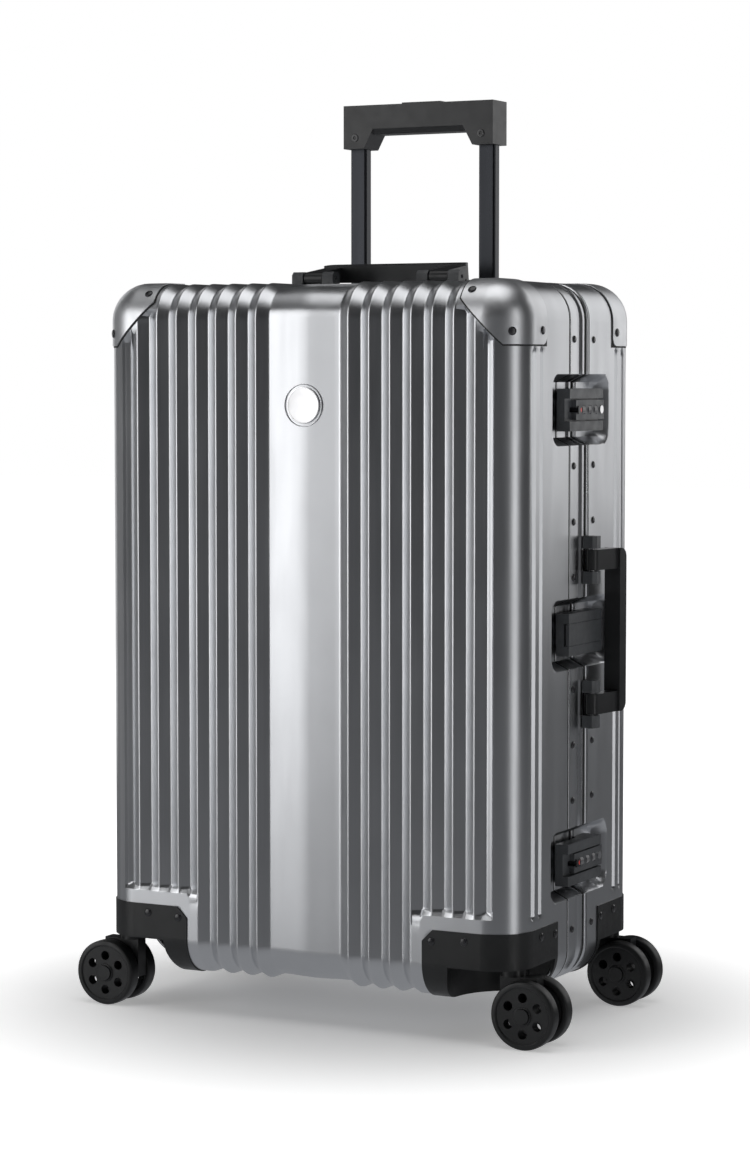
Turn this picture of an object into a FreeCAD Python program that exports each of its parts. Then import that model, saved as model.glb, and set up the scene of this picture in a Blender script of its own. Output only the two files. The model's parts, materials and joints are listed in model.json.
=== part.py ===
import FreeCAD, Part
import Sketcher
import os
import re
import sys

# Hard shell suitcase on four twin-wheel casters, in millimetres.
# Origin on the floor under the middle of the case.  X runs to the right seen from the front, Y to
# the rear and Z up.  The front half swings as a lid on hinges along the left side.

SIZES = {
    # case
    "case_width": 410, "case_depth": 260, "case_height": 616, "case_base": 36,
    "edge_radius": 33, "shell_wall": 2,
    # pressed ribs on the front and rear faces
    "rib_pitch": 20.1, "rib_depth": 4.8, "rib_land": 1, "panel_half": 35.4,
    "short_rib_base": 110, "rib_foot": 6,
    # frames and the seal between them
    "frame_wall": 3, "frame_flange": 12, "flange_thickness": 3,
    "front_edge": 21, "front_rim": 13, "rear_rim": 17, "rear_edge": 21,
    "frame_overlap": 19, "seal_gap": 0.3, "seal_inset": 3, "seal_width": 4,
    # recesses for the locks
    "recess_depth": 13, "recess_slope": 7, "recess_half": 31, "recess_front": 58, "recess_rear": 65,
    "middle_height": 346, "lock_rise": 195, "lock_drop": 201.5,
    # corner guards
    "guard_wall": 1.2, "guard_width": 54, "guard_height": 55, "guard_side": 58, "guard_cut": 39,
    # caster housings
    "housing_width": 88, "housing_depth": 86, "housing_height": 62, "housing_lap": 4,
    "housing_skin": 1, "housing_wall": 4, "housing_chamfer": 10, "housing_floor": 6,
    # casters
    "stem_inset": 15, "stem_setback": 27, "wheel_radius": 29.5, "wheel_width": 13,
    "wheel_trail": 18, "twin_gap": 16, "tyre_thickness": 5.5, "axle_radius": 3, "cap_radius": 6.5,
    "cap_thickness": 1.2, "stem_radius": 6, "collar_radius": 11, "well_radius": 56,
    "well_clearance": 7.5, "boss_wall": 6, "running_gap": 0.05, "side_gap": 0.3,
    "spoke_hole_radius": 4.2, "spoke_hole_place": 15, "web_thickness": 13, "web_length": 28,
    # rivets
    "rivet_radius": 3, "rivet_head": 1.3, "shank_radius": 1.6, "shank_length": 6,
    "rivet_pitch": 48.8, "front_rivet_place": 11.7, "rear_rivet_place": 30.8, "hole_gap": 0.1,
    # locks and centre latch
    "lock_front": 30, "lock_rear": 43, "lock_half": 18.4, "lock_top": 17, "lock_seat": 18,
    "hood_rise": 4.8, "bar_height": 8.5, "channel_depth": 5, "module_front": 15, "module_rear": 46,
    "module_half": 8.5, "module_sunk": 0.5, "dial_radius": 6, "dial_width": 6, "dial_pitch": 13,
    "dial_place": 14, "dial_proud": 0.8, "dial_gap": 0.4, "spindle_radius": 1.2,
    "bolt_travel": 8, "bolt_half": 4.7, "bolt_thickness": 2, "bolt_rise": 1.4, "bolt_tip": 8,
    "bolt_tail": 16, "slot_gap": 0.3, "button_place": 9, "button_half": 2, "button_cap": 3.5,
    "button_rise": 1.2, "key_radius": 3.6, "key_place": 39.5, "key_depth": 10,
    "keeper_front": 20, "keeper_rear": 10, "keeper_half": 9, "keeper_height": 4.4,
    "plate_half": 9.6, "plate_thickness": 3,
    # carry handles
    "handle_half": 72.5, "handle_arm": 18, "handle_reach": 45, "handle_bar": 11,
    "bar_thickness": 16, "barrel_radius": 6, "handle_round": 8, "handle_tilt": 8,
    "pivot_rise": 7, "pivot_place": 14, "pivot_radius": 2, "lug_width": 11, "lug_gap": 1,
    "lug_front": 7, "lug_rear": 21, "lug_height": 13, "lug_float": 0.5, "lug_chamfer": 3,
    # trolley
    "tube_place": 66.4, "tube_setback": 21, "tube_width": 16.5, "tube_depth": 11.5,
    "tube_wall": 1.2, "sleeve_width": 20, "sleeve_depth": 15, "slide_gap": 0.5,
    "tube_base": 200, "tube_round": 2, "grip_half": 77, "grip_depth": 30, "grip_top": 822, "grip_beam": 27,
    "grip_drop": 13, "bracket_width": 21, "bracket_slope": 7, "grip_bevel": 5, "socket_depth": 4,
    "button_long": 40, "button_wide": 14, "press_travel": 3, "press_rise": 1.8, "rod_radius": 2.5,
    "yoke_thickness": 4, "bezel_half": 85, "bezel_front": 96, "bezel_rear": 122,
    "bezel_base": 640, "bezel_top": 654, "foot_base": 58, "foot_top": 66, "foot_half": 80,
    # hinges on the left side, badge and side feet
    "knuckle_radius": 3.7, "hinge_pin_radius": 1.6, "hinge_offset": 4, "hinge_place": 15,
    "hinge_length": 60, "leaf_thickness": 2, "leaf_reach": 30, "leaf_gap": 4.8, "knuckle_gap": 0.3,
    "badge_height": 545, "badge_radius": 17, "badge_ring": 18.6, "badge_rise": 1.6,
    "badge_disc_rise": 1, "foot_radius": 9, "foot_rise": 8, "foot_spread": 110, "foot_place": 75,
}

DERIVED = {
    # places worked out from the sizes above
    "half_width": "case_width / 2",
    "half_depth": "case_depth / 2",
    "case_top": "case_base + case_height",
    "recess_floor": "half_width - recess_depth",
    "recess_growth": "sqrt(1 + (recess_slope / recess_depth) ^ 2) - recess_slope / recess_depth",
    "upper_lock": "middle_height + lock_rise",
    "lower_lock": "middle_height - lock_drop",
    "stem_x": "half_width - stem_inset",
    "stem_y": "half_depth - stem_setback",
    "wheel_x": "stem_x + wheel_trail",
    "well_top": "2 * wheel_radius + well_clearance",
    "stem_top": "well_top + housing_floor + 2 * boss_wall",
    "twin_half": "twin_gap / 2 + wheel_width",
    "lock_face": "recess_floor + lock_top",
    "module_face": "lock_face - module_sunk",
    "dial_x": "module_face + dial_proud - dial_radius",
    "pivot_side": "half_width + pivot_rise",
    "arm_place": "handle_half - handle_arm / 2",
    "tube_y": "half_depth - tube_setback",
    "grip_under": "grip_top - grip_beam",
    "grip_foot": "grip_under - grip_drop",
    "tube_top": "grip_under + socket_depth",
    "yoke_base": "tube_top + press_travel + 2",
    "hinge_x": "-half_width - hinge_offset",
}

doc = FreeCAD.newDocument("suitcase")
sheet = doc.addObject("Spreadsheet::Sheet", "Sheet")
NAMES = list(SIZES) + list(DERIVED)
WORD = re.compile(r"[a-z][a-z_]*")


def tied(formula):
    """A formula in plain size names, with each name pointed at the sheet."""
    return WORD.sub(lambda found: "Sheet." + found.group() if found.group() in NAMES else found.group(),
                    str(formula))


def fill_sheet():
    for row, (name, value) in enumerate(SIZES.items(), start=1):
        sheet.set("A%d" % row, name)
        sheet.set("B%d" % row, str(value))
        sheet.setAlias("B%d" % row, name)
    for row, (name, formula) in enumerate(DERIVED.items(), start=len(SIZES) + 1):
        sheet.set("A%d" % row, name)
        sheet.set("B%d" % row, "=" + formula)
        sheet.setAlias("B%d" % row, name)
        doc.recompute()


def size(name):
    """The present value of one cell."""
    return float(sheet.get(name))


# ---------------------------------------------------------------- building blocks

def block(name, x, y, z):
    """A box between a low and a high formula on each axis."""
    made = doc.addObject("Part::Box", name)
    for axis, side, (low, high) in zip("xyz", ("Length", "Width", "Height"), (x, y, z)):
        made.setExpression("Placement.Base." + axis, tied(low))
        made.setExpression(side, tied("(%s) - (%s)" % (high, low)))
    return made


TURNS = {
    "x": FreeCAD.Rotation(FreeCAD.Vector(0, 1, 0), 90),
    "y": FreeCAD.Rotation(FreeCAD.Vector(1, 0, 0), -90),
    "z": FreeCAD.Rotation(),
}


def rod(name, axis, radius, start, length):
    """A cylinder that starts at a point of three formulas and runs along x, y or z."""
    made = doc.addObject("Part::Cylinder", name)
    made.Placement = FreeCAD.Placement(FreeCAD.Vector(), TURNS[axis])
    for letter, place in zip("xyz", start):
        made.setExpression("Placement.Base." + letter, tied(place))
    made.setExpression("Radius", tied(radius))
    made.setExpression("Height", tied(length))
    return made


def fuse(name, *pieces):
    made = doc.addObject("Part::MultiFuse", name)
    made.Shapes = list(pieces)
    made.Refine = True
    return made


def cut(name, base, *tools):
    made = doc.addObject("Part::Cut", name)
    made.Base = base
    made.Tool = tools[0] if len(tools) == 1 else fuse(name + "_tools", *tools)
    return made


def common(name, *pieces):
    made = doc.addObject("Part::MultiCommon", name)
    made.Shapes = list(pieces)
    return made


def group(name, *pieces):
    """Several separate solids under one name."""
    made = doc.addObject("Part::Compound", name)
    made.Links = list(pieces)
    return made


def mirrored(name, source, across):
    """A copy on the other side of the plane through the origin across x or y."""
    made = doc.addObject("Part::Mirroring", name)
    made.Source = source
    made.Normal = FreeCAD.Vector(across == "x", across == "y", 0)
    return made


def placed(name, source, x="0", y="0", z="0", turn=None):
    """A copy of a piece moved to a point of three formulas."""
    made = group(name, source)
    if turn:
        made.Placement = FreeCAD.Placement(FreeCAD.Vector(), turn)
    for letter, place in zip("xyz", (x, y, z)):
        made.setExpression("Placement.Base." + letter, tied(place))
    return made


def softened(name, base, radius, picked, kind="Part::Fillet"):
    """Fillets or chamfers on the edges that picked(edge) accepts."""
    doc.recompute()
    made = doc.addObject(kind, name)
    made.Base = base
    edges = [number for number, edge in enumerate(base.Shape.Edges, start=1) if picked(edge)]
    if not edges:
        sys.exit("no edge to soften on " + name)
    made.Edges = [(number, radius, radius) for number in edges]
    return made


def along(edge, axis):
    """True for a straight edge that runs along x, y or z."""
    start, end = edge.firstVertex().Point, edge.lastVertex().Point
    step = end - start
    other = [abs(getattr(step, letter)) for letter in "xyz" if letter != axis]
    return max(other) < 1e-6 and abs(getattr(step, axis)) > 1e-6


# ---------------------------------------------------------------- the outer form

def recesses(name, inset):
    """The three lock recesses in the right wall, grown inwards by inset."""
    grown = "(%s) * recess_growth" % inset
    spread = "recess_slope / recess_depth"
    made = []
    for number, height in enumerate(("upper_lock", "middle_height", "lower_lock")):
        wedge = doc.addObject("Part::Wedge", "%s_%d" % (name, number))
        wedge.Placement = FreeCAD.Placement(FreeCAD.Vector(), FreeCAD.Rotation(FreeCAD.Vector(0, 0, 1), -90))
        formulas = {
            "Ymin": "recess_floor - (%s)" % inset,
            "Ymax": "half_width + 1",
            "Xmin": "-(recess_rear - recess_slope + %s)" % grown,
            "Xmax": "recess_front - recess_slope + %s" % grown,
            "Zmin": "-(recess_half - recess_slope + %s)" % grown,
            "Zmax": "recess_half - recess_slope + %s" % grown,
            "X2min": "-(recess_rear + %s + (%s) * (1 + %s))" % (grown, spread, inset),
            "X2max": "recess_front + %s + (%s) * (1 + %s)" % (grown, spread, inset),
            "Z2min": "-(recess_half + %s + (%s) * (1 + %s))" % (grown, spread, inset),
            "Z2max": "recess_half + %s + (%s) * (1 + %s)" % (grown, spread, inset),
        }
        for side, formula in formulas.items():
            wedge.setExpression(side, tied(formula))
        wedge.setExpression("Placement.Base.z", tied(height))
        made.append(wedge)
    return made


def hull(name, inset, low, high, face=None, recessed=True):
    """The case's outer form between two Y formulas, drawn in by inset.

    face is the Y formula of a pressed end face whose edges are rounded too.
    """
    wide = "half_width - (%s)" % inset
    solid = block(name + "_block", ("-(%s)" % wide, wide), (low, high),
                  ("case_base + (%s)" % inset, "case_top - (%s)" % inset))
    doc.recompute()
    low_y, high_y = solid.Shape.BoundBox.YMin, solid.Shape.BoundBox.YMax
    face_y = {None: None, "low": low_y, "high": high_y}[face]

    def picked(edge):
        on_face = face_y is not None and abs(edge.BoundBox.YMin - face_y) < 1e-6 \
            and edge.BoundBox.YLength < 1e-6
        return along(edge, "y") or on_face

    inset_value = size("half_width") - solid.Shape.BoundBox.XMax
    solid = softened(name + "_rounded", solid, size("edge_radius") - inset_value, picked)
    if recessed:
        solid = cut(name, solid, *recesses(name + "_recess", inset))
    return solid


def ribs(name, side, lift):
    """The valleys of one pressed face and its sunken centre panel, moved inwards by lift."""
    slope = "rib_pitch / 2 - rib_land"
    valleys = [("panel", "0", "panel_half", "case_base - 1")]
    for number in range(1, 8):
        base = "short_rib_base" if number > 3 else "case_base - 1"
        for hand in ("", "-"):
            place = "%s(panel_half + %d * rib_pitch)" % (hand, number)
            valleys.append(("%s%d" % ("right" if hand == "" else "left", number), place,
                            "rib_land / 2", base))
    made = []
    for label, place, flat, base in valleys:
        wedge = doc.addObject("Part::Wedge", "%s_%s" % (name, label))
        outer = {"X": "(%s + %s)" % (flat, slope), "Z": base}
        inner = {"X": "(%s)" % flat, "Z": "%s + rib_foot" % base}
        near, far = (outer, inner) if side == "front" else (inner, outer)
        face = "half_depth - (%s)" % lift
        floor = "half_depth - rib_depth - (%s)" % lift
        low, high = ("-(%s)" % face, "-(%s)" % floor) if side == "front" else (floor, face)
        formulas = {
            "Ymin": low, "Ymax": high,
            "Xmin": "-" + near["X"], "Xmax": near["X"],
            "X2min": "-" + far["X"], "X2max": far["X"],
            "Zmin": near["Z"], "Zmax": "case_top + 1",
            "Z2min": far["Z"], "Z2max": "case_top + 1",
        }
        for edge, formula in formulas.items():
            wedge.setExpression(edge, tied(formula))
        wedge.setExpression("Placement.Base.x", tied(place))
        made.append(wedge)
    return made


# ---------------------------------------------------------------- rivets

def rivet(name, x, y, z, direction):
    """A domed rivet whose head sits on the point, with its shank behind it."""
    head = doc.addObject("Part::Cone", name + "_head")
    head.setExpression("Radius1", tied("rivet_radius"))
    head.setExpression("Radius2", tied("rivet_radius * 0.6"))
    head.setExpression("Height", tied("rivet_head"))
    shank = rod(name + "_shank", "z", "shank_radius", ("0", "0", "-shank_length"), "shank_length")
    turn = FreeCAD.Rotation(FreeCAD.Vector(0, 0, 1), FreeCAD.Vector(*direction))
    return placed(name, fuse(name + "_body", head, shank), x, y, z, turn)


def rivet_hole(name, x, y, z, direction):
    """The clearance hole for a shank, with a flat seat under the head."""
    hole = rod(name + "_bore", "z", "shank_radius + hole_gap", ("0", "0", "-2 * shank_length"),
               "2 * shank_length")
    seat = rod(name + "_seat", "z", "rivet_radius + hole_gap", ("0", "0", "0"), "2 * rivet_head")
    turn = FreeCAD.Rotation(FreeCAD.Vector(0, 0, 1), FreeCAD.Vector(*direction))
    return placed(name, fuse(name + "_cut", hole, seat), x, y, z, turn)


def frame_rivet_places(y):
    """Rivets round one rim, clear of the recesses and handles, and through the hinge leaves."""
    places = []
    for step in (-5.33, -3, -2, -1, 1, 2, 3, 5.25):
        height = "middle_height + %s * rivet_pitch" % step
        places.append(("half_width", y, height, (1, 0, 0)))
        places.append(("-half_width", y, height, (-1, 0, 0)))
    for height in ("upper_lock", "middle_height", "lower_lock"):
        for hand in ("-", "+"):
            places.append(("-half_width - leaf_thickness", y,
                           "%s %s hinge_length / 4" % (height, hand), (-1, 0, 0)))
    for step in (-3, -2, -1, 0, 1, 2, 3):
        places.append(("%s * rivet_pitch" % step, y, "case_top", (0, 0, 1)))
        places.append(("%s * rivet_pitch" % (step * 0.75), y, "case_base", (0, 0, -1)))
    return places


def corner_rivet_places(side):
    """Guard screws and housing rivets of one half: place formulas and outward direction."""
    y = "-" if side == "front" else ""
    sign = -1 if side == "front" else 1
    places = []
    for hand, way in (("", 1), ("-", -1)):
        rim = "(edge_radius + guard_wall) * 0.7071"
        places += [
            ("%s(half_width - guard_width + 8)" % hand,
             "%s(half_depth - edge_radius + %s)" % (y, rim),
             "case_top - edge_radius + %s" % rim, (0, sign, 1)),
            ("%s(half_width - edge_radius + %s)" % (hand, rim),
             "%s(half_depth - edge_radius + %s)" % (y, rim),
             "case_top - guard_height + 11", (way, sign, 0)),
            ("%s(half_width + guard_wall)" % hand, "%s(half_depth - guard_side + 9)" % y,
             "case_top - guard_height + 12", (way, 0, 0)),
            ("%s(half_width - housing_width + 9)" % hand, "%s(half_depth + housing_skin)" % y,
             "case_base + housing_height - 10", (0, sign, 0)),
            ("%s(half_width - housing_width + 40)" % hand, "%s(half_depth + housing_skin)" % y,
             "case_base + housing_height - 8", (0, sign, 0)),
            ("%s(half_width + housing_skin)" % hand, "%s(half_depth - housing_depth + 35)" % y,
             "case_base + housing_height - 8", (way, 0, 0)),
            ("%s(half_width + housing_skin)" % hand, "%s(half_depth - housing_depth + 5.5)" % y,
             "case_base + housing_height - 10", (way, 0, 0)),
        ]
    return places


def rivets_and_holes(name, places):
    rivets = [rivet("%s_%d" % (name, number), *place) for number, place in enumerate(places)]
    holes = [rivet_hole("%s_hole_%d" % (name, number), *place) for number, place in enumerate(places)]
    return group(name, *rivets), fuse(name + "_holes", *holes)


# ---------------------------------------------------------------- shells, frames and corners

def housing_region(name, margin, low_z):
    """The front right corner block that a caster housing fills, less a margin all round."""
    solid = block(name + "_box", ("half_width - housing_width + %s" % margin, "half_width + 20"),
                  ("-(half_depth + 20)", "-(half_depth - housing_depth + %s)" % margin),
                  (low_z, "case_base + housing_height - %s" % margin))
    doc.recompute()
    box = solid.Shape.BoundBox

    def picked(edge):
        return along(edge, "y") and abs(edge.BoundBox.XMin - box.XMin) < 1e-6 \
            and abs(edge.BoundBox.ZMin - box.ZMax) < 1e-6

    return softened(name, solid, size("housing_chamfer"), picked, "Part::Chamfer")


def all_corners(name, source):
    """The four mirrored copies of something built at the front right."""
    left = mirrored(name + "_left", source, "x")
    front = group(name + "_front", source, left)
    return front, mirrored(name + "_rear", front, "y")


def shells(corner_cuts, holes, trolley_cut):
    """Both pressed shells, with their ribs, recesses, corner cuts and holes."""
    front = fuse("front_form", hull("front_skin", "0", "-half_depth", "-front_edge", "low"),
                 hull("front_tongue", "frame_wall + slot_gap", "-front_edge - 1",
                      "-front_edge + frame_overlap"))
    front_space = fuse("front_space",
                       hull("front_hollow", "shell_wall", "-half_depth + shell_wall",
                            "-front_edge - shell_wall - 1", "low"),
                       hull("front_mouth", "frame_wall + slot_gap + shell_wall",
                            "-front_edge - shell_wall - 2", "0"))
    rear = hull("rear_skin", "0", "rear_edge + slot_gap", "half_depth", "high")
    rear_space = hull("rear_hollow", "shell_wall", "0", "half_depth - shell_wall", "high")
    front_out = cut("front_ribbed", front, *ribs("front_rib", "front", "0"))
    front_in = cut("front_ribbed_in", front_space, *ribs("front_bead", "front", "shell_wall"))
    rear_out = cut("rear_ribbed", rear, *ribs("rear_rib", "rear", "0"))
    rear_in = cut("rear_ribbed_in", rear_space, *ribs("rear_bead", "rear", "shell_wall"))
    cut("front_shell", cut("front_pan", front_out, front_in), corner_cuts[0], *holes["front"])
    cut("rear_shell", cut("rear_pan", rear_out, rear_in), corner_cuts[1], trolley_cut,
        *holes["rear"])


def frames(holes):
    """The two rims and the seal, which the rear rim carries."""
    band = hull("front_band", "0", "-front_edge", "front_rim")
    bore = hull("front_bore", "frame_wall", "-front_edge - 1", "front_rim - flange_thickness")
    mouth = hull("front_flange_bore", "frame_flange", "0", "front_rim + 1")
    cut("front_frame", band, bore, mouth, holes["front"][0])
    nose = hull("rear_nose", "0", "rear_rim", "rear_edge")
    leg = hull("rear_leg", "shell_wall + slot_gap", "rear_edge - 1", "rear_edge + frame_overlap")
    leg_bore = hull("rear_leg_bore", "shell_wall + slot_gap + frame_wall", "rear_edge",
                    "rear_edge + frame_overlap + 1")
    rear_mouth = hull("rear_flange_bore", "frame_flange", "0", "rear_edge + 1")
    cut("rear_frame", fuse("rear_rim_form", nose, leg), leg_bore, rear_mouth, holes["rear"][0])
    seal = hull("seal_form", "seal_inset", "front_rim + seal_gap", "rear_rim")
    seal_bore = hull("seal_bore", "seal_inset + seal_width", "0", "rear_rim + 1")
    cut("gasket", seal, seal_bore)


def corner_guards(holes):
    """Metal caps over the four top corners."""
    grown = hull("guard_form", "-guard_wall", "-half_depth - guard_wall", "0", "low", False)
    inner = hull("guard_core", "0", "-half_depth", "1", "low", False)
    region = block("guard_region_box", ("half_width - guard_width", "half_width + 10"),
                   ("-half_depth - 10", "-half_depth + guard_side"),
                   ("case_top - guard_height", "case_top + 10"))
    doc.recompute()
    box = region.Shape.BoundBox

    def picked(edge):
        return along(edge, "y") and abs(edge.BoundBox.XMin - box.XMin) < 1e-6 \
            and abs(edge.BoundBox.ZMin - box.ZMin) < 1e-6

    region = softened("guard_region", region, size("guard_cut"), picked, "Part::Chamfer")
    cap = common("guard_cap", cut("guard_skin", grown, inner), region)
    front, rear = all_corners("guards", cap)
    cut("corner_guards_front", front, holes["front"][1])
    cut("corner_guards_rear", rear, holes["rear"][1])


def caster_housings(holes):
    """Moulded corner blocks with a wheel well and a boss for the stem."""
    grown = hull("housing_form", "-housing_skin", "-half_depth - housing_skin", "0", "low", False)
    flush = hull("housing_core", "0", "-half_depth", "1", "low", False)
    hollow = hull("housing_hollow", "housing_wall", "-half_depth + housing_wall", "1", "low", False)
    lap = common("housing_lap_skin", cut("housing_skin_form", grown, flush),
                 housing_region("housing_outline", "0", "case_base - 5"))
    plug = common("housing_plug", flush, housing_region("housing_inline", "housing_lap",
                                                        "case_base - 5"))
    room = common("housing_room", hollow,
                  block("housing_room_box", ("0", "half_width"), ("-half_depth", "0"),
                        ("well_top + housing_floor", "case_top")))
    boss = rod("stem_boss", "z", "stem_radius + boss_wall",
               ("stem_x", "-stem_y", "well_top + housing_floor - 1"), "1 + 2 * boss_wall")
    boss = common("stem_boss_inside", boss, flush)
    well = rod("wheel_well", "z", "well_radius", ("stem_x", "-stem_y", "0"), "well_top")
    bore = rod("stem_bore", "z", "stem_radius + running_gap", ("stem_x", "-stem_y", "0"), "stem_top + 1")
    shell = cut("housing_hollowed", fuse("housing_body", lap, plug), room)
    corner = cut("housing_corner", fuse("housing_bossed", shell, boss), well, bore)
    front, rear = all_corners("housings", corner)
    cut("caster_housings_front", front, holes["front"][1])
    cut("caster_housings_rear", rear, holes["rear"][1])


# ---------------------------------------------------------------- sketched pieces

def sketch(body, name, plane, corners):
    """A closed outline on one of the body's own planes, each corner tied to two formulas."""
    made = body.newObject("Sketcher::SketchObject", name)
    support = [feature for feature in body.Origin.OriginFeatures if feature.Role == plane][0]
    made.AttachmentSupport = [(support, "")]
    made.MapMode = "FlatFace"
    points = [FreeCAD.Vector(*[float(made.evalExpression(tied(part))) for part in corner])
              for corner in corners]
    count = len(points)
    for number in range(count):
        made.addGeometry(Part.LineSegment(points[number], points[(number + 1) % count]), False)
    for number in range(count):
        made.addConstraint(Sketcher.Constraint("Coincident", number, 2, (number + 1) % count, 1))
    for number, corner in enumerate(corners):
        for kind, place, formula in zip(("DistanceX", "DistanceY"), points[number], corner):
            index = made.addConstraint(Sketcher.Constraint(kind, number, 1, place))
            made.setExpression("Constraints[%d]" % index, tied(formula))
    return made


def wheel_form():
    """One wheel about the Y axis through the origin: a dished hub with six holes, and its tyre."""
    body = doc.addObject("PartDesign::Body", "wheel_hub")
    rim = "wheel_radius - tyre_thickness"
    bore = "axle_radius + running_gap"
    half = "wheel_width / 2"
    dish = "wheel_width / 2 - cap_thickness"
    outline = [(bore, "-" + half), ("cap_radius + 1", "-" + half), ("cap_radius + 2", "-(%s)" % dish),
               (rim + " - 3", "-(%s)" % dish), (rim + " - 2", "-" + half), (rim, "-" + half),
               (rim, half), (rim + " - 2", half), (rim + " - 3", dish), ("cap_radius + 2", dish),
               ("cap_radius + 1", half), (bore, half)]
    section = sketch(body, "wheel_section", "XY_Plane", outline)
    turned = body.newObject("PartDesign::Revolution", "wheel_turned")
    turned.Profile = section
    turned.ReferenceAxis = (section, ["V_Axis"])
    turned.Angle = 360
    doc.recompute()
    hole = body.newObject("Sketcher::SketchObject", "spoke_hole")
    support = [feature for feature in body.Origin.OriginFeatures if feature.Role == "XZ_Plane"][0]
    hole.AttachmentSupport = [(support, "")]
    hole.MapMode = "FlatFace"
    place, radius = size("spoke_hole_place"), size("spoke_hole_radius")
    hole.addGeometry(Part.Circle(FreeCAD.Vector(0, place, 0), FreeCAD.Vector(0, 0, 1), radius), False)
    hole.addConstraint(Sketcher.Constraint("PointOnObject", 0, 3, -2))
    for kind, formula, value in (("DistanceY", "spoke_hole_place", place),
                                 ("Radius", "spoke_hole_radius", radius)):
        arguments = (0, 3, value) if kind == "DistanceY" else (0, value)
        index = hole.addConstraint(Sketcher.Constraint(kind, *arguments))
        hole.setExpression("Constraints[%d]" % index, tied(formula))
    drilled = body.newObject("PartDesign::Pocket", "spoke_drilled")
    drilled.Profile = hole
    drilled.Type = "ThroughAll"
    drilled.Midplane = True
    doc.recompute()
    pattern = body.newObject("PartDesign::PolarPattern", "spoke_holes")
    pattern.Originals = [drilled]
    pattern.Axis = (section, ["V_Axis"])
    pattern.Angle = 360
    pattern.Occurrences = 6
    body.Tip = pattern
    doc.recompute()
    if pattern.Shape.Volume > drilled.Shape.Volume - 1:
        sys.exit("the wheel's holes cut nothing")
    tyre = cut("tyre_form",
               rod("tyre_outer", "y", "wheel_radius", ("0", "-" + half, "0"), "wheel_width"),
               rod("tyre_inner", "y", rim, ("0", "-wheel_width", "0"), "2 * wheel_width"))
    doc.recompute()
    outer = size("wheel_radius")
    tyre = softened("tyre", tyre, 1.5, lambda edge: edge.BoundBox.XLength > 2 * outer - 0.01)
    return group("wheel_form", body, tyre)


def fork_form():
    """Fork, stem and axle about the stem's axis, trailing towards +X."""
    web = block("fork_web", ("-collar_radius + 2", "wheel_trail + 8"),
                ("-web_thickness / 2", "web_thickness / 2"), ("wheel_radius - 4", "2 * wheel_radius + 1"))
    hub = rod("fork_hub", "y", "cap_radius + 4.5", ("wheel_trail", "-web_thickness / 2", "wheel_radius"),
              "web_thickness")
    collar = rod("fork_collar", "z", "collar_radius", ("0", "0", "2 * wheel_radius + 0.8"),
                 "well_clearance - 0.8 - side_gap")
    stem = rod("fork_stem", "z", "stem_radius", ("0", "0", "2 * wheel_radius + 1"),
               "stem_top - 2 * wheel_radius - 1")
    bore = rod("fork_bore", "y", "axle_radius + running_gap",
               ("wheel_trail", "-web_thickness", "wheel_radius"), "2 * web_thickness")
    fork = cut("fork", fuse("fork_solid", web, hub, collar, stem), bore)
    reach = "twin_half + side_gap"
    axle = [rod("axle_pin", "y", "axle_radius", ("wheel_trail", "-(%s)" % reach, "wheel_radius"),
                "2 * (%s)" % reach),
            rod("axle_cap_front", "y", "cap_radius", ("wheel_trail", "-(%s) - cap_thickness" % reach,
                                                      "wheel_radius"), "cap_thickness"),
            rod("axle_cap_rear", "y", "cap_radius", ("wheel_trail", reach, "wheel_radius"),
                "cap_thickness")]
    return group("fork_form", fork, fuse("axle", *axle))


def casters():
    """Four swivel casters, each a fork and two wheels that turn on their own."""
    wheel = wheel_form()
    fork = fork_form()
    half_turn = FreeCAD.Rotation(FreeCAD.Vector(0, 0, 1), 180)
    step = "(twin_gap + wheel_width) / 2"
    for end, far in (("front", "-"), ("rear", "")):
        for hand, out in (("right", ""), ("left", "-")):
            corner = end + "_" + hand
            placed("caster_" + corner, fork, out + "stem_x", far + "stem_y",
                   turn=half_turn if hand == "left" else None)
            placed("wheel_%s_outer" % corner, wheel, out + "wheel_x", "%s(stem_y + %s)" % (far, step),
                   "wheel_radius")
            placed("wheel_%s_inner" % corner, wheel, out + "wheel_x", "%s(stem_y - %s)" % (far, step),
                   "wheel_radius")


# ---------------------------------------------------------------- locks and latch

def sliding_bolt(name, cap):
    """The bolt under a case, the stem that comes up through its slot, and what the thumb moves."""
    foot = "recess_floor + bolt_rise"
    bolt = block(name + "_bar", (foot, foot + " + bolt_thickness"), ("-bolt_tip", "bolt_tail"),
                 ("-bolt_half", "bolt_half"))
    stem = block(name + "_stem", (foot, "module_face"),
                 ("-button_place - button_half", "-button_place + button_half"),
                 ("-button_half", "button_half"))
    return fuse(name, bolt, stem, cap)


def lock_blank(name):
    """The block that bridges both rims: a hood over the bolt and keeper, and a seat at the rear."""
    hood = block(name + "_hood", ("recess_floor + hood_rise", "lock_face"), ("-lock_front", "lock_rear"),
                 ("-lock_half", "lock_half"))
    seat = block(name + "_seat", ("recess_floor", "recess_floor + hood_rise + 1"),
                 ("lock_seat", "lock_rear"), ("-lock_half", "lock_half"))
    channel = block(name + "_channel", ("lock_face - channel_depth", "lock_face + 1"),
                    ("-lock_front - 1", "lock_rear + 1"),
                    ("-(lock_half - bar_height)", "lock_half - bar_height"))
    slot = block(name + "_slot", ("recess_floor", "lock_face + 1"),
                 ("-button_place - button_half - bolt_travel - slot_gap",
                  "-button_place + button_half + slot_gap"),
                 ("-button_half - slot_gap", "button_half + slot_gap"))
    return cut(name, fuse(name + "_block", hood, seat), channel), slot


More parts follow.
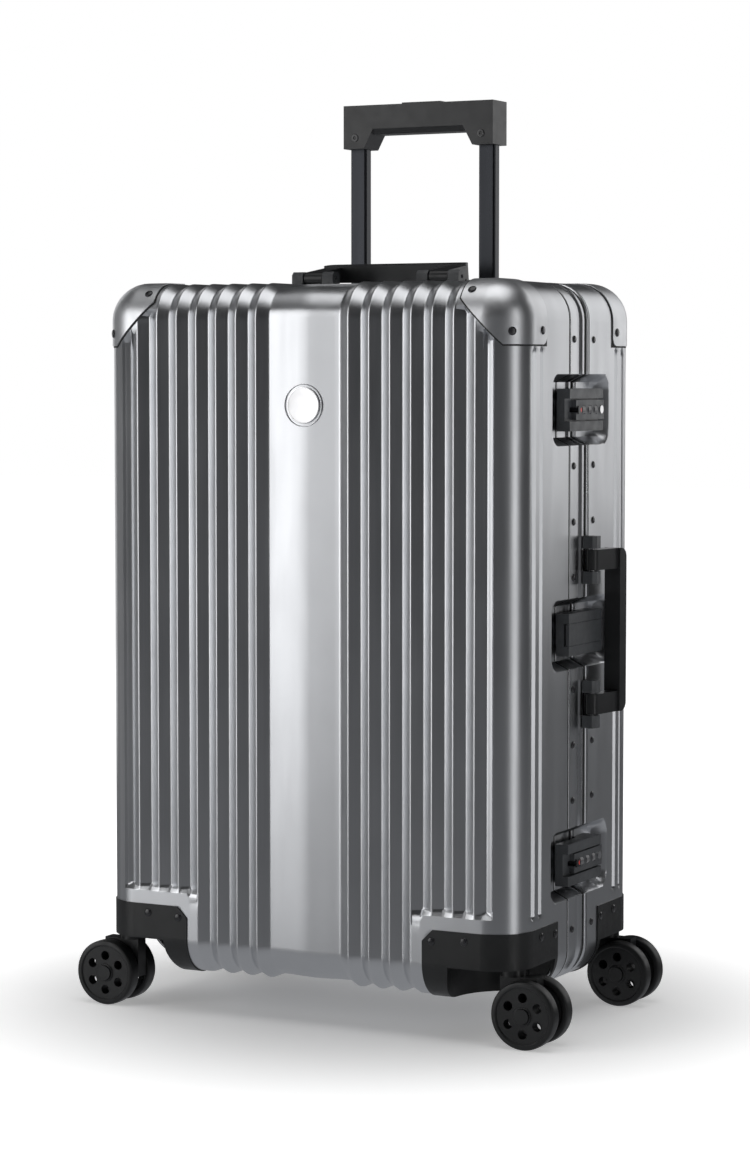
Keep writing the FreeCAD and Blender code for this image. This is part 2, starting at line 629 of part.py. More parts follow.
def combination_locks():
    """Two locks with three dials each, a release button on the bolt, and a key cylinder."""
    blank, slot = lock_blank("lock_blank")
    module = block("lock_module", ("lock_face - channel_depth - 1", "module_face"),
                   ("-module_front", "module_rear"), ("-module_half", "module_half"))
    wells = [rod("dial_well_%d" % number, "y", "dial_radius + dial_gap",
                 ("dial_x", "dial_place + %d * dial_pitch - dial_width / 2 - dial_gap" % number, "0"),
                 "dial_width + 2 * dial_gap") for number in (-1, 0, 1)]
    spindle_y = "dial_place - dial_pitch - dial_width"
    spindle_length = "2 * dial_pitch + 2 * dial_width"
    spindle_bore = rod("spindle_bore", "y", "spindle_radius", ("dial_x", spindle_y, "0"), spindle_length)
    spindle = rod("spindle", "y", "spindle_radius", ("dial_x", spindle_y, "0"), spindle_length)
    key_well = rod("key_well", "x", "key_radius + running_gap", ("lock_face - key_depth", "key_place", "0"),
                   "key_depth + 1")
    case = cut("lock_body", fuse("lock_solid", blank, module), slot, key_well, spindle_bore, *wells)
    lock_case = group("lock_case", case, spindle)
    dial = cut("dial", rod("dial_disc", "y", "dial_radius", ("dial_x", "-dial_width / 2", "0"),
                           "dial_width"),
               rod("dial_bore", "y", "spindle_radius + running_gap", ("dial_x", "-dial_width", "0"),
                   "2 * dial_width"))
    cap = block("lock_button_cap", ("module_face + 0.2", "module_face + button_rise"),
                ("-button_place - button_cap", "-button_place + button_cap"),
                ("-button_cap", "button_cap"))
    stem_top = block("lock_button_neck", ("module_face - 1", "module_face + button_rise"),
                     ("-button_place - button_half", "-button_place + button_half"),
                     ("-button_half", "button_half"))
    slider = sliding_bolt("lock_bolt", fuse("lock_button", cap, stem_top))
    key = rod("key_cylinder", "x", "key_radius", ("lock_face - key_depth", "key_place", "0"),
              "key_depth + 0.4")
    for place, height in (("top", "upper_lock"), ("bottom", "lower_lock")):
        placed("lock_case_" + place, lock_case, z=height)
        for number, order in enumerate(("front", "middle", "rear")):
            placed("lock_dial_%s_%s" % (place, order), dial,
                   y="dial_place + %d * dial_pitch" % (number - 1), z=height)
        placed("lock_release_" + place, slider, z=height)
        placed("lock_key_" + place, key, z=height)


def centre_latch():
    """The plain latch between the locks: a wide sliding plate on the same bolt."""
    blank, slot = lock_blank("latch_blank")
    placed("latch_case", cut("latch_body", blank, slot), z="middle_height")
    plate = block("latch_plate", ("lock_face - plate_thickness", "lock_face"),
                  ("-lock_front + slot_gap", "lock_rear - slot_gap"), ("-plate_half", "plate_half"))
    placed("latch_slider", sliding_bolt("latch_bolt", plate), z="middle_height")


def keepers():
    """Slotted plates on the front rim that the three bolts enter."""
    plate = block("keeper_plate", ("recess_floor", "recess_floor + keeper_height"),
                  ("-keeper_front", "-keeper_rear"), ("-keeper_half", "keeper_half"))
    foot = "recess_floor + bolt_rise"
    through = ("-keeper_front - 1", "-keeper_rear + 1")
    mouth = block("keeper_mouth", (foot + " - slot_gap", foot + " + bolt_thickness + slot_gap"),
                  through, ("-bolt_half - slot_gap", "bolt_half + slot_gap"))
    throat = block("keeper_throat", (foot + " - slot_gap", "recess_floor + keeper_height + 1"),
                   through, ("-button_half - slot_gap", "button_half + slot_gap"))
    keeper = cut("keeper", plate, mouth, throat)
    group("lock_keepers", *[placed("keeper_%d" % number, keeper, z=height) for number, height
                            in enumerate(("upper_lock", "middle_height", "lower_lock"))])


# ---------------------------------------------------------------- carry handles

def carry_handles():
    """Two equal handles: drawn with the pivot along X through the origin, folded towards +Y."""
    arms = []
    for hand, low, high in (("left", "-handle_half", "-handle_half + handle_arm"),
                            ("right", "handle_half - handle_arm", "handle_half")):
        arms.append(block("arm_" + hand, (low, high), ("0", "handle_reach"),
                          ("-barrel_radius", "barrel_radius")))
        arms.append(rod("barrel_" + hand, "x", "barrel_radius", (low, "0", "0"), "handle_arm"))
    bar = block("handle_bar_block", ("-handle_half", "handle_half"),
                ("handle_reach - handle_bar", "handle_reach"), ("-bar_thickness / 2", "bar_thickness / 2"))
    reach = size("handle_reach")

    def outer_corner(edge):
        return along(edge, "z") and edge.BoundBox.YMin > reach - 1e-6

    bar = softened("handle_bar_round", bar, size("handle_round"), outer_corner)
    half = size("handle_half")

    def arm_corner(edge):
        return outer_corner(edge) and abs(edge.BoundBox.XMin) > half - 1

    arms_round = softened("handle_arms_round", fuse("handle_arms", *arms), size("handle_round"), arm_corner)
    bore = rod("handle_bore", "x", "pivot_radius + running_gap", ("-handle_half - 1", "0", "0"),
               "2 * handle_half + 2")
    handle = cut("handle_form", fuse("handle_solid", arms_round, bar), bore)

    inner_lug = ("arm_place - handle_arm / 2 - lug_gap - lug_width", "arm_place - handle_arm / 2 - lug_gap")
    outer_lug = ("arm_place + handle_arm / 2 + lug_gap", "arm_place + handle_arm / 2 + lug_gap + lug_width")
    lug_y = ("lug_front - pivot_place", "lug_rear - pivot_place")
    lug_z = ("lug_float - pivot_rise", "lug_height - pivot_rise")
    lugs = [block("lug_inner", inner_lug, lug_y, lug_z), block("lug_outer", outer_lug, lug_y, lug_z)]
    top = size("lug_height") - size("pivot_rise")
    lugs = [softened(lug.Name + "_cut", lug, size("lug_chamfer"),
                     lambda edge: along(edge, "x") and edge.BoundBox.ZMin > top - 1e-6, "Part::Chamfer")
            for lug in lugs]
    base = block("lug_base", (inner_lug[0], outer_lug[1]), ("rear_rim - pivot_place + 0.2", lug_y[1]),
                 ("-pivot_rise", "-barrel_radius - 0.4"))
    lug_bore = rod("lug_bore", "x", "pivot_radius", ("0", "0", "0"), "handle_half + 3 * lug_width")
    mount = cut("mount_right", fuse("mount_solid", base, *lugs), lug_bore)
    pin = rod("handle_pin", "x", "pivot_radius", (inner_lug[0] + " + 1", "0", "0"),
              "handle_arm + 2 * (lug_gap + lug_width) - 2")
    mounts = group("mounts_form", mount, mirrored("mount_left", mount, "x"))
    pins = group("pins_form", pin, mirrored("pin_left", pin, "x"))

    upright = FreeCAD.Rotation(FreeCAD.Vector(0, 1, 0), 90)
    tilt = FreeCAD.Rotation(FreeCAD.Vector(1, 0, 0), size("handle_tilt"))
    for name, place, turn in (("top_handle", ("0", "pivot_place", "case_top + pivot_rise"),
                               FreeCAD.Rotation()),
                              ("side_handle", ("pivot_side", "pivot_place", "middle_height"), upright)):
        placed(name, handle, *place, turn=turn.multiply(tilt))
        placed(name + "_mounts", mounts, *place, turn=turn)
        placed(name + "_pins", pins, *place, turn=turn)


# ---------------------------------------------------------------- trolley

def both_tubes(name, width, depth, z):
    """Two upright bars at the trolley's tube places."""
    y = ("tube_y - (%s) / 2" % depth, "tube_y + (%s) / 2" % depth)
    return [block("%s_%s" % (name, side),
                  ("%stube_place - (%s) / 2" % (sign, width), "%stube_place + (%s) / 2" % (sign, width)),
                  y, z) for side, sign in (("left", "-"), ("right", ""))]


def hollow_tubes(name, width, depth, z):
    outer = both_tubes(name + "_outside", width, depth, z)
    inner = both_tubes(name + "_inside", width + " - 2 * tube_wall", depth + " - 2 * tube_wall",
                       ("%s - 1" % z[0], "%s + 1" % z[1]))
    return [cut("%s_%d" % (name, number), solid, hole)
            for number, (solid, hole) in enumerate(zip(outer, inner))]


def rounded_tubes(name, tubes):
    """Tubes with their four long outer edges rounded."""
    made = []
    for number, tube in enumerate(tubes):
        doc.recompute()
        box = tube.Shape.BoundBox

        def outer_long(edge):
            side = min(abs(edge.BoundBox.XMin - box.XMin), abs(edge.BoundBox.XMax - box.XMax))
            return along(edge, "z") and side < 1e-6

        made.append(softened("%s_%d" % (name, number), tube, size("tube_round"), outer_long))
    return made


def trolley():
    """Fixed sleeves, bezel and foot in the rear half; sliding tubes, grip, button and rods."""
    sleeves = hollow_tubes("sleeve", "sleeve_width", "sleeve_depth", ("foot_top", "bezel_base"))
    group("trolley_sleeves", *sleeves)
    foot_y = ("tube_y - sleeve_depth / 2 - 1", "tube_y + sleeve_depth / 2")
    block("trolley_foot", ("-foot_half", "foot_half"), foot_y, ("foot_base", "foot_top"))
    bezel = block("bezel_block", ("-bezel_half", "bezel_half"), ("bezel_front", "bezel_rear"),
                  ("bezel_base", "bezel_top"))
    top = size("bezel_top")
    bezel = softened("bezel_soft", bezel, 1.5, lambda edge: edge.BoundBox.ZMin > top - 1e-6)
    holes = both_tubes("bezel_hole", "tube_width + 2 * slide_gap", "tube_depth + 2 * slide_gap",
                       ("bezel_base - 1", "bezel_top + 1"))
    cut("trolley_bezel", bezel, *holes)
    tubes = hollow_tubes("inner_tube", "tube_width", "tube_depth", ("tube_base", "tube_top - slide_gap"))
    group("trolley_tubes", *rounded_tubes("inner_tube_round", tubes))
    trolley_grip()
    press_y = ("tube_y - button_wide / 2", "tube_y + button_wide / 2")
    cap = block("push_button", ("-button_long / 2", "button_long / 2"), press_y,
                ("yoke_base + yoke_thickness", "grip_top + press_rise"))
    cap.Label = "push_button"
    yoke = block("release_yoke", ("-tube_place - rod_radius", "tube_place + rod_radius"),
                 ("tube_y - rod_radius", "tube_y + rod_radius"), ("yoke_base", "yoke_base + yoke_thickness"))
    rods = [rod("release_rod_" + side, "z", "rod_radius", (hand + "tube_place", "tube_y", "tube_base + 5"),
                "yoke_base - tube_base - 4") for side, hand in (("left", "-"), ("right", ""))]
    fuse("release_rods", yoke, *rods)


def trolley_grip():
    """The grip: a beam with a foot at each end that takes a tube, hollow for the button and yoke."""
    body = doc.addObject("PartDesign::Body", "grip_body")
    inner = "grip_half - bracket_width"
    outline = [("-grip_half", "grip_foot"), ("-%s" % inner.replace(" - ", " + "), "grip_foot"),
               ("-grip_half + bracket_width + bracket_slope", "grip_under"),
               (inner + " - bracket_slope", "grip_under"), (inner, "grip_foot"),
               ("grip_half", "grip_foot"), ("grip_half", "grip_top"), ("-grip_half", "grip_top")]
    section = sketch(body, "grip_outline", "XZ_Plane", outline)
    pad = body.newObject("PartDesign::Pad", "grip_pad")
    pad.Profile = section
    pad.Midplane = True
    pad.setExpression("Length", tied("grip_depth"))
    body.Tip = pad
    doc.recompute()
    beam = placed("grip_beam_form", body, y="tube_y")
    doc.recompute()
    box = beam.Shape.BoundBox

    def lower_long_edges(edge):
        on_side = min(abs(edge.BoundBox.YMin - box.YMin), abs(edge.BoundBox.YMax - box.YMax)) < 1e-6
        return along(edge, "x") and on_side and edge.BoundBox.ZMax < box.ZMax - 1 \
            and edge.BoundBox.ZMin > box.ZMin + 1

    beam = softened("grip_bevelled", beam, size("grip_bevel"), lower_long_edges, "Part::Chamfer")
    sockets = both_tubes("grip_socket", "tube_width + slot_gap", "tube_depth + slot_gap",
                         ("grip_foot - 1", "tube_top"))
    duct = block("grip_duct", ("-tube_place - rod_radius - 1", "tube_place + rod_radius + 1"),
                 ("tube_y - rod_radius - 1", "tube_y + rod_radius + 1"),
                 ("tube_top - 1", "yoke_base + yoke_thickness + 1"))
    window = block("grip_window", ("-button_long / 2 - slot_gap", "button_long / 2 + slot_gap"),
                   ("tube_y - button_wide / 2 - slot_gap", "tube_y + button_wide / 2 + slot_gap"),
                   ("yoke_base + yoke_thickness - press_travel - slot_gap", "grip_top + 1"))
    cut("trolley_grip", beam, duct, window, *sockets)


# ---------------------------------------------------------------- hinges, badge and feet

def hinges(holes):
    """Three butt hinges on the left wall, opposite the locks."""
    third = "hinge_length / 3"
    plate_x = ("-half_width - leaf_thickness", "-half_width")
    bore = rod("hinge_bore", "z", "hinge_pin_radius + running_gap", ("hinge_x", "hinge_place",
                                                                     "-hinge_length"), "2 * hinge_length")
    front_plate = block("front_leaf_plate", plate_x, ("hinge_place - leaf_reach", "hinge_place - leaf_gap"),
                        ("-hinge_length / 2", "hinge_length / 2"))
    rear_plate = block("rear_leaf_plate", plate_x, ("hinge_place + leaf_gap", "hinge_place + leaf_reach"),
                       ("-hinge_length / 2", "hinge_length / 2"))
    knuckle = rod("front_knuckle", "z", "knuckle_radius", ("hinge_x", "hinge_place",
                                                           "-(%s) / 2 + knuckle_gap" % third),
                  third + " - 2 * knuckle_gap")
    web = block("front_knuckle_web", plate_x, ("hinge_place - leaf_gap - 1", "hinge_place"),
                ("-(%s) / 2 + knuckle_gap" % third, "(%s) / 2 - knuckle_gap" % third))
    front = cut("front_leaf", fuse("front_leaf_solid", front_plate, knuckle, web), bore)
    parts = [rear_plate]
    for number, low in enumerate(("-hinge_length / 2", "hinge_length / 2 - hinge_length / 3")):
        parts.append(rod("rear_knuckle_%d" % number, "z", "knuckle_radius",
                         ("hinge_x", "hinge_place", low), third))
        parts.append(block("rear_knuckle_web_%d" % number, plate_x,
                           ("hinge_place", "hinge_place + leaf_gap + 1"), (low, "%s + %s" % (low, third))))
    rear = cut("rear_leaf", fuse("rear_leaf_solid", *parts), bore)
    pin = rod("hinge_pin", "z", "hinge_pin_radius", ("hinge_x", "hinge_place", "-hinge_length / 2"),
              "hinge_length")
    heights = ("upper_lock", "middle_height", "lower_lock")
    for name, source, drill in (("hinge_leaves_front", front, holes["front"][0]),
                                ("hinge_leaves_rear", rear, holes["rear"][0])):
        copies = group(name + "_set", *[placed("%s_%d" % (name, number), source, z=height)
                                        for number, height in enumerate(heights)])
        cut(name, copies, drill)
    group("hinge_pins", *[placed("hinge_pin_%d" % number, pin, z=height)
                          for number, height in enumerate(heights)])


def badge():
    """A plain disc in a ring on the centre panel."""
    face = "-(half_depth - rib_depth)"
    ring = cut("badge_ring_form", rod("badge_rim", "y", "badge_ring", ("0", face + " - badge_rise",
                                                                      "badge_height"), "badge_rise"),
               rod("badge_rim_bore", "y", "badge_radius", ("0", face + " - 2 * badge_rise",
                                                           "badge_height"), "4 * badge_rise"))
    disc = rod("badge_disc", "y", "badge_radius", ("0", face + " - badge_disc_rise", "badge_height"),
               "badge_disc_rise")
    group("badge", ring, disc)


def side_feet():
    """Studs on the hinge side, for laying the case down."""
    for name, out in (("side_feet_front", "-"), ("side_feet_rear", "")):
        group(name, *[rod("%s_%d" % (name, number), "x", "foot_radius",
                          ("-half_width - foot_rise", out + "foot_place",
                           "middle_height %s foot_spread" % way), "foot_rise")
                      for number, way in enumerate(("-", "+"))])


# ---------------------------------------------------------------- the whole case

NODES = ["front_shell", "rear_shell", "front_frame", "rear_frame", "gasket",
         "corner_guards_front", "corner_guards_rear", "caster_housings_front",
         "caster_housings_rear", "frame_rivets_front", "frame_rivets_rear", "corner_rivets_front",
         "corner_rivets_rear", "hinge_leaves_front", "hinge_leaves_rear", "hinge_pins",
         "lock_keepers", "latch_case", "latch_slider", "badge", "side_feet_front",
         "side_feet_rear", "trolley_sleeves", "trolley_foot", "trolley_bezel", "trolley_tubes",
         "trolley_grip", "push_button", "release_rods"]
NODES += [handle + part for handle in ("top_handle", "side_handle") for part in ("", "_mounts", "_pins")]
for lock in ("top", "bottom"):
    NODES += ["lock_case_" + lock, "lock_release_" + lock, "lock_key_" + lock]
    NODES += ["lock_dial_%s_%s" % (lock, order) for order in ("front", "middle", "rear")]
for corner in ("front_right", "front_left", "rear_right", "rear_left"):
    NODES += ["caster_" + corner, "wheel_%s_outer" % corner, "wheel_%s_inner" % corner]


def build():
    fill_sheet()
    holes = {}
    for side, y in (("front", "-front_rivet_place"), ("rear", "rear_rivet_place")):
        frame_holes = rivets_and_holes("frame_rivets_" + side, frame_rivet_places(y))[1]
        corner_holes = rivets_and_holes("corner_rivets_" + side, corner_rivet_places(side))[1]
        holes[side] = (frame_holes, corner_holes)
    corner_cut = housing_region("housing_cut", "housing_lap", "case_base - 5")
    corner_cuts = all_corners("housing_cuts", corner_cut)
    trolley_cut = block("bezel_cut", ("-bezel_half - slot_gap", "bezel_half + slot_gap"),
                        ("bezel_front - slot_gap", "bezel_rear + slot_gap"), ("bezel_base", "bezel_top + 1"))
    shells(corner_cuts, holes, trolley_cut)
    frames(holes)
    corner_guards(holes)
    caster_housings(holes)
    casters()
    combination_locks()
    centre_latch()
    keepers()
    carry_handles()
    trolley()
    hinges(holes)
    badge()
    side_feet()
    doc.recompute()


def check_and_write():
    for item in doc.Objects:
        if "Invalid" in item.State or "Error" in item.State:
            sys.exit("%s failed: %s" % (item.Name, item.State))
    os.makedirs("parts", exist_ok=True)
    for name in NODES:
        shape = doc.getObject(name).Shape
        if shape.isNull() or not shape.isValid() or shape.Volume <= 0:
            sys.exit("%s has no sound shape" % name)
        shape.exportStep("parts/%s.step" % name)
        print("%-28s %3d solids %12.1f mm3" % (name, len(shape.Solids), shape.Volume))


build()
check_and_write()
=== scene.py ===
import json
import math
import bmesh
import bpy
from mathutils import Matrix, Vector


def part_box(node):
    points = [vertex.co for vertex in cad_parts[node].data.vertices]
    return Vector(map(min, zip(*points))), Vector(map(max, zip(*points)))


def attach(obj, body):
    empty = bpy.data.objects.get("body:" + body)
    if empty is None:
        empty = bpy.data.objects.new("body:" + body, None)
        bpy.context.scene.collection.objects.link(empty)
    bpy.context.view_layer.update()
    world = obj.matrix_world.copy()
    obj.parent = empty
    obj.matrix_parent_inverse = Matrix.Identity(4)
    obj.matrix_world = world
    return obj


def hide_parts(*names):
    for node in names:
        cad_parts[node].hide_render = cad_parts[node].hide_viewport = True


# Hard shell suitcase on four twin-wheel casters.  Lengths below are in millimetres and become
# metres through MM.  X runs to the right seen from the front, Y to the rear and Z up.
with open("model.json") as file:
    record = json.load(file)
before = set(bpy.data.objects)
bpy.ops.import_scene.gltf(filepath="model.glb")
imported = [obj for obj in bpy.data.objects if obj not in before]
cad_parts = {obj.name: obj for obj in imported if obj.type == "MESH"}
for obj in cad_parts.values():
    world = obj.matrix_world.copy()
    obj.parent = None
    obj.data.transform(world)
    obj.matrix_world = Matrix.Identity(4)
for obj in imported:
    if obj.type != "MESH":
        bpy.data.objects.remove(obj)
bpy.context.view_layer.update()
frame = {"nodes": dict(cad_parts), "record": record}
MM = 0.001

# ---------------------------------------------------------------- sizes
HALF_W, HALF_D, BASE, TOP, EDGE = 205.0, 130.0, 36.0, 652.0, 33.0
CORE_X, CORE_LOW, CORE_HIGH, CORE_Y = HALF_W - EDGE, BASE + EDGE, TOP - EDGE, HALF_D - EDGE
PITCH, RIB_DEPTH, PANEL = 20.1, 4.8, 35.4
LOCKS = (541.0, 346.0, 144.5)
RECESS_FRONT, RECESS_REAR, RECESS_HALF, RECESS_SLOPE, RECESS_DEPTH = -58.0, 65.0, 31.0, 7.0, 13.0
SIDE_RIBS = (81.0, 95.0)
CREASE = 1.3
RIB_FOOT, RIB_FADE = 110.0, 6.0
HOUSING_X, HOUSING_Y, HOUSING_Z, HOUSING_CUT = 123.0, 48.0, 92.0, 117.0
RIVET_PITCH, SIDE_MIDDLE = 48.8, 346.0
STEM_Y, TWIN_Y, WHEEL_R, WHEEL_HALF = 103.0, 14.5, 29.5, 6.5
HOLE_RING, HOLE_R, HOLES, CAP_R = 15.6, 4.15, 6, 8.2
BADGE_Z, BADGE_R, BADGE_RIM, BADGE_DISC = 545.0, 18.7, 17.6, 16.0
GUARD_X, GUARD_Z, GUARD_Y, GUARD_CUT, GUARD_WALL = 151.0, 597.0, 72.0, 39.0, 1.2
CORNERS = [(e, h) for e in ("front", "rear") for h in ("right", "left")]


# ---------------------------------------------------------------- materials
def node_tree(name):
    material = bpy.data.materials.new(name)
    material.use_nodes = True
    tree = material.node_tree
    shader = tree.nodes["Principled BSDF"]
    return material, tree, shader


def noise(tree, scale, detail=4.0, stretch=(1, 1, 1), roughness=0.5):
    """A noise pattern fixed to the piece, squeezed along the given axes."""
    place = tree.nodes.new("ShaderNodeTexCoord")
    mapping = tree.nodes.new("ShaderNodeMapping")
    mapping.inputs["Scale"].default_value = stretch
    tree.links.new(place.outputs["Object"], mapping.inputs["Vector"])
    pattern = tree.nodes.new("ShaderNodeTexNoise")
    pattern.inputs["Scale"].default_value = scale
    pattern.inputs["Detail"].default_value = detail
    pattern.inputs["Roughness"].default_value = roughness
    tree.links.new(mapping.outputs["Vector"], pattern.inputs["Vector"])
    return pattern.outputs["Fac"]


def ramp(tree, source, low, high, start=0.35, end=0.65):
    """Colours or greys picked from low to high by a pattern."""
    node = tree.nodes.new("ShaderNodeValToRGB")
    node.color_ramp.elements[0].position = start
    node.color_ramp.elements[1].position = end
    node.color_ramp.elements[0].color = tuple(low) + (1,)
    node.color_ramp.elements[1].color = tuple(high) + (1,)
    tree.links.new(source, node.inputs["Fac"])
    return node.outputs["Color"]


def bump(tree, shader, source, strength, distance):
    node = tree.nodes.new("ShaderNodeBump")
    node.inputs["Strength"].default_value = strength
    node.inputs["Distance"].default_value = distance
    tree.links.new(source, node.inputs["Height"])
    tree.links.new(node.outputs["Normal"], shader.inputs["Normal"])


def metal(name, colour, rough, spread=0.05, grain=1400.0, stretch=(1, 1, 1), strength=0.012, shade=0.03):
    """Satin metal: faint cloudy tone, uneven polish and a fine grain."""
    material, tree, shader = node_tree(name)
    shader.inputs["Metallic"].default_value = 1.0
    cloud = noise(tree, 14.0, 5.0)
    low = [c * (1 - shade) for c in colour]
    high = [min(1.0, c * (1 + shade)) for c in colour]
    tree.links.new(ramp(tree, cloud, low, high), shader.inputs["Base Color"])
    polish = noise(tree, 60.0, 6.0, stretch)
    tree.links.new(ramp(tree, polish, (rough - spread,) * 3, (rough + spread,) * 3),
                   shader.inputs["Roughness"])
    bump(tree, shader, noise(tree, grain, 3.0, stretch), strength, 0.0002)
    return material


def plastic(name, colour, rough, spread=0.08, grain=1500.0, strength=0.25, shade=0.18, coat=0.0):
    """Moulded plastic or rubber: fine spark texture, faint scuffs and uneven sheen."""
    material, tree, shader = node_tree(name)
    cloud = noise(tree, 22.0, 6.0)
    low = [c * (1 - shade) for c in colour]
    high = [c * (1 + shade) for c in colour]
    tree.links.new(ramp(tree, cloud, low, high), shader.inputs["Base Color"])
    wear = noise(tree, 95.0, 8.0)
    tree.links.new(ramp(tree, wear, (rough - spread,) * 3, (rough + spread,) * 3),
                   shader.inputs["Roughness"])
    shader.inputs["Coat Weight"].default_value = coat
    shader.inputs["Coat Roughness"].default_value = 0.2
    bump(tree, shader, noise(tree, grain, 2.0), strength, 0.0002)
    return material


def marked_release():
    """Black slider with a red dot on its outer face."""
    material = plastic("marked_release", (0.014, 0.014, 0.015), 0.32, grain=500, strength=0.06)
    tree = material.node_tree
    shader = tree.nodes["Principled BSDF"]
    base = shader.inputs["Base Color"].links[0].from_socket
    place = tree.nodes.new("ShaderNodeTexCoord")
    split = tree.nodes.new("ShaderNodeSeparateXYZ")
    tree.links.new(place.outputs["Generated"], split.inputs[0])
    parts = []
    for axis, middle in (("Y", 0.5), ("Z", 0.5)):
        away = tree.nodes.new("ShaderNodeMath")
        away.operation = "SUBTRACT"
        away.inputs[1].default_value = middle
        tree.links.new(split.outputs[axis], away.inputs[0])
        square = tree.nodes.new("ShaderNodeMath")
        square.operation = "POWER"
        square.inputs[1].default_value = 2.0
        tree.links.new(away.outputs[0], square.inputs[0])
        parts.append(square.outputs[0])
    total = tree.nodes.new("ShaderNodeMath")
    tree.links.new(parts[0], total.inputs[0])
    tree.links.new(parts[1], total.inputs[1])
    outer = tree.nodes.new("ShaderNodeMath")
    outer.operation = "GREATER_THAN"
    outer.inputs[1].default_value = 0.9
    tree.links.new(split.outputs["X"], outer.inputs[0])
    inside = tree.nodes.new("ShaderNodeMath")
    inside.operation = "LESS_THAN"
    inside.inputs[1].default_value = 0.12
    tree.links.new(total.outputs[0], inside.inputs[0])
    both = tree.nodes.new("ShaderNodeMath")
    both.operation = "MULTIPLY"
    tree.links.new(outer.outputs[0], both.inputs[0])
    tree.links.new(inside.outputs[0], both.inputs[1])
    mix = tree.nodes.new("ShaderNodeMix")
    mix.data_type = "RGBA"
    mix.inputs[7].default_value = (0.60, 0.04, 0.03, 1)
    tree.links.new(both.outputs[0], mix.inputs[0])
    tree.links.new(base, mix.inputs[6])
    tree.links.new(mix.outputs[2], shader.inputs["Base Color"])
    return material


MATERIALS = {
    "shell": metal("satin_shell", (0.66, 0.67, 0.69), 0.33, spread=0.025, stretch=(1, 1, 0.12)),
    "frame": metal("drawn_frame", (0.64, 0.65, 0.67), 0.30, spread=0.03, stretch=(1, 1, 0.08)),
    "guard": metal("satin_guard", (0.80, 0.81, 0.83), 0.40, spread=0.03),
    "seal": plastic("seal_rubber", (0.012, 0.012, 0.013), 0.62, grain=900),
    "housing": plastic("grained_housing", (0.0095, 0.010, 0.0105), 0.40, strength=0.25),
    "rivet": plastic("black_rivet", (0.012, 0.012, 0.014), 0.24, grain=600, strength=0.08, coat=0.3),
    "steel": metal("plated_steel", (0.78, 0.78, 0.79), 0.16, strength=0.03),
    "lock": plastic("lock_plastic", (0.045, 0.048, 0.052), 0.38, strength=0.2),
    "release": marked_release(),
    "dial": plastic("dial_plastic", (0.10, 0.10, 0.105), 0.36, strength=0.12),
    "handle": plastic("handle_plastic", (0.014, 0.0145, 0.0155), 0.33, spread=0.04, strength=0.06),
    "tube": metal("dark_tube", (0.040, 0.042, 0.047), 0.30, stretch=(1, 1, 0.05)),
    "badge": metal("badge_metal", (0.84, 0.84, 0.85), 0.30, grain=700),
    "caster": plastic("caster_plastic", (0.010, 0.0105, 0.011), 0.38, strength=0.2),
    "wheel": plastic("wheel_plastic", (0.0095, 0.010, 0.0105), 0.42, strength=0.2),
}


# ---------------------------------------------------------------- mesh helpers
def finish_piece(name, mesh, body, slot, sharp=38.0, replaces=(), bevel=0.0, thick=0.0, segments=2):
    """Links the mesh as a piece with its bevel, wall and weighted normals."""
    bmesh.ops.remove_doubles(mesh, verts=mesh.verts, dist=1e-6)
    data = bpy.data.meshes.new(name)
    mesh.to_mesh(data)
    mesh.free()
    data.polygons.foreach_set("use_smooth", [True] * len(data.polygons))
    data.set_sharp_from_angle(angle=math.radians(sharp))
    piece = bpy.data.objects.new(name, data)
    bpy.context.collection.objects.link(piece)
    data.materials.append(MATERIALS[slot])
    if thick:
        wall = piece.modifiers.new("wall", "SOLIDIFY")
        wall.thickness = abs(thick) * MM
        wall.offset = -1.0 if thick > 0 else 1.0
        wall.use_even_offset = True
        wall.use_quality_normals = True
    if bevel:
        soft = piece.modifiers.new("bevel", "BEVEL")
        soft.width = bevel * MM
        soft.segments = segments
        soft.limit_method = "ANGLE"
        soft.angle_limit = math.radians(35)
    even = piece.modifiers.new("normals", "WEIGHTED_NORMAL")
    even.keep_sharp = True
    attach(piece, body)
    if replaces:
        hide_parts(*replaces)
    return piece


def add_grid(mesh, rows, closed=False, flip=False):
    """Quads through rows of points in millimetres; closed joins the last row to the first."""
    verts = [[mesh.verts.new(Vector(p) * MM) for p in row] for row in rows]
    count = len(verts) if closed else len(verts) - 1
    for i in range(count):
        upper, lower = verts[(i + 1) % len(verts)], verts[i]
        for j in range(len(lower) - 1):
            quad = [lower[j], upper[j], upper[j + 1], lower[j + 1]]
            mesh.faces.new(quad[::-1] if flip else quad)
    return verts


def add_lathe(mesh, profile, put, steps=48):
    """Turns (radius, height) points about an axis; put(x, y, h) places them.  Radius 0 closes it."""
    rings = []
    for radius, height in profile:
        if radius < 1e-6:
            rings.append([mesh.verts.new(Vector(put(0, 0, height)) * MM)])
            continue
        rings.append([mesh.verts.new(Vector(put(radius * math.cos(math.tau * i / steps),
                                                radius * math.sin(math.tau * i / steps),
                                                height)) * MM) for i in range(steps)])
    for lower, upper in zip(rings, rings[1:]):
        for i in range(steps):
            j = (i + 1) % steps
            corners = [lower[i % len(lower)], lower[j % len(lower)],
                       upper[j % len(upper)], upper[i % len(upper)]]
            unique = list(dict.fromkeys(corners))
            if len(unique) > 2:
                mesh.faces.new(unique)
    bmesh.ops.recalc_face_normals(mesh, faces=mesh.faces)


def facing(point, axis):
    """A put function that stands a lathe on a point, looking along an axis."""
    turn = Vector(axis).to_track_quat("Z", "Y").to_matrix()
    origin = Vector(point)
    return lambda a, b, c: origin + turn @ Vector((a, b, c))


# ---------------------------------------------------------------- case form
def clamp(value, low=0.0, high=1.0):
    return max(low, min(high, value))


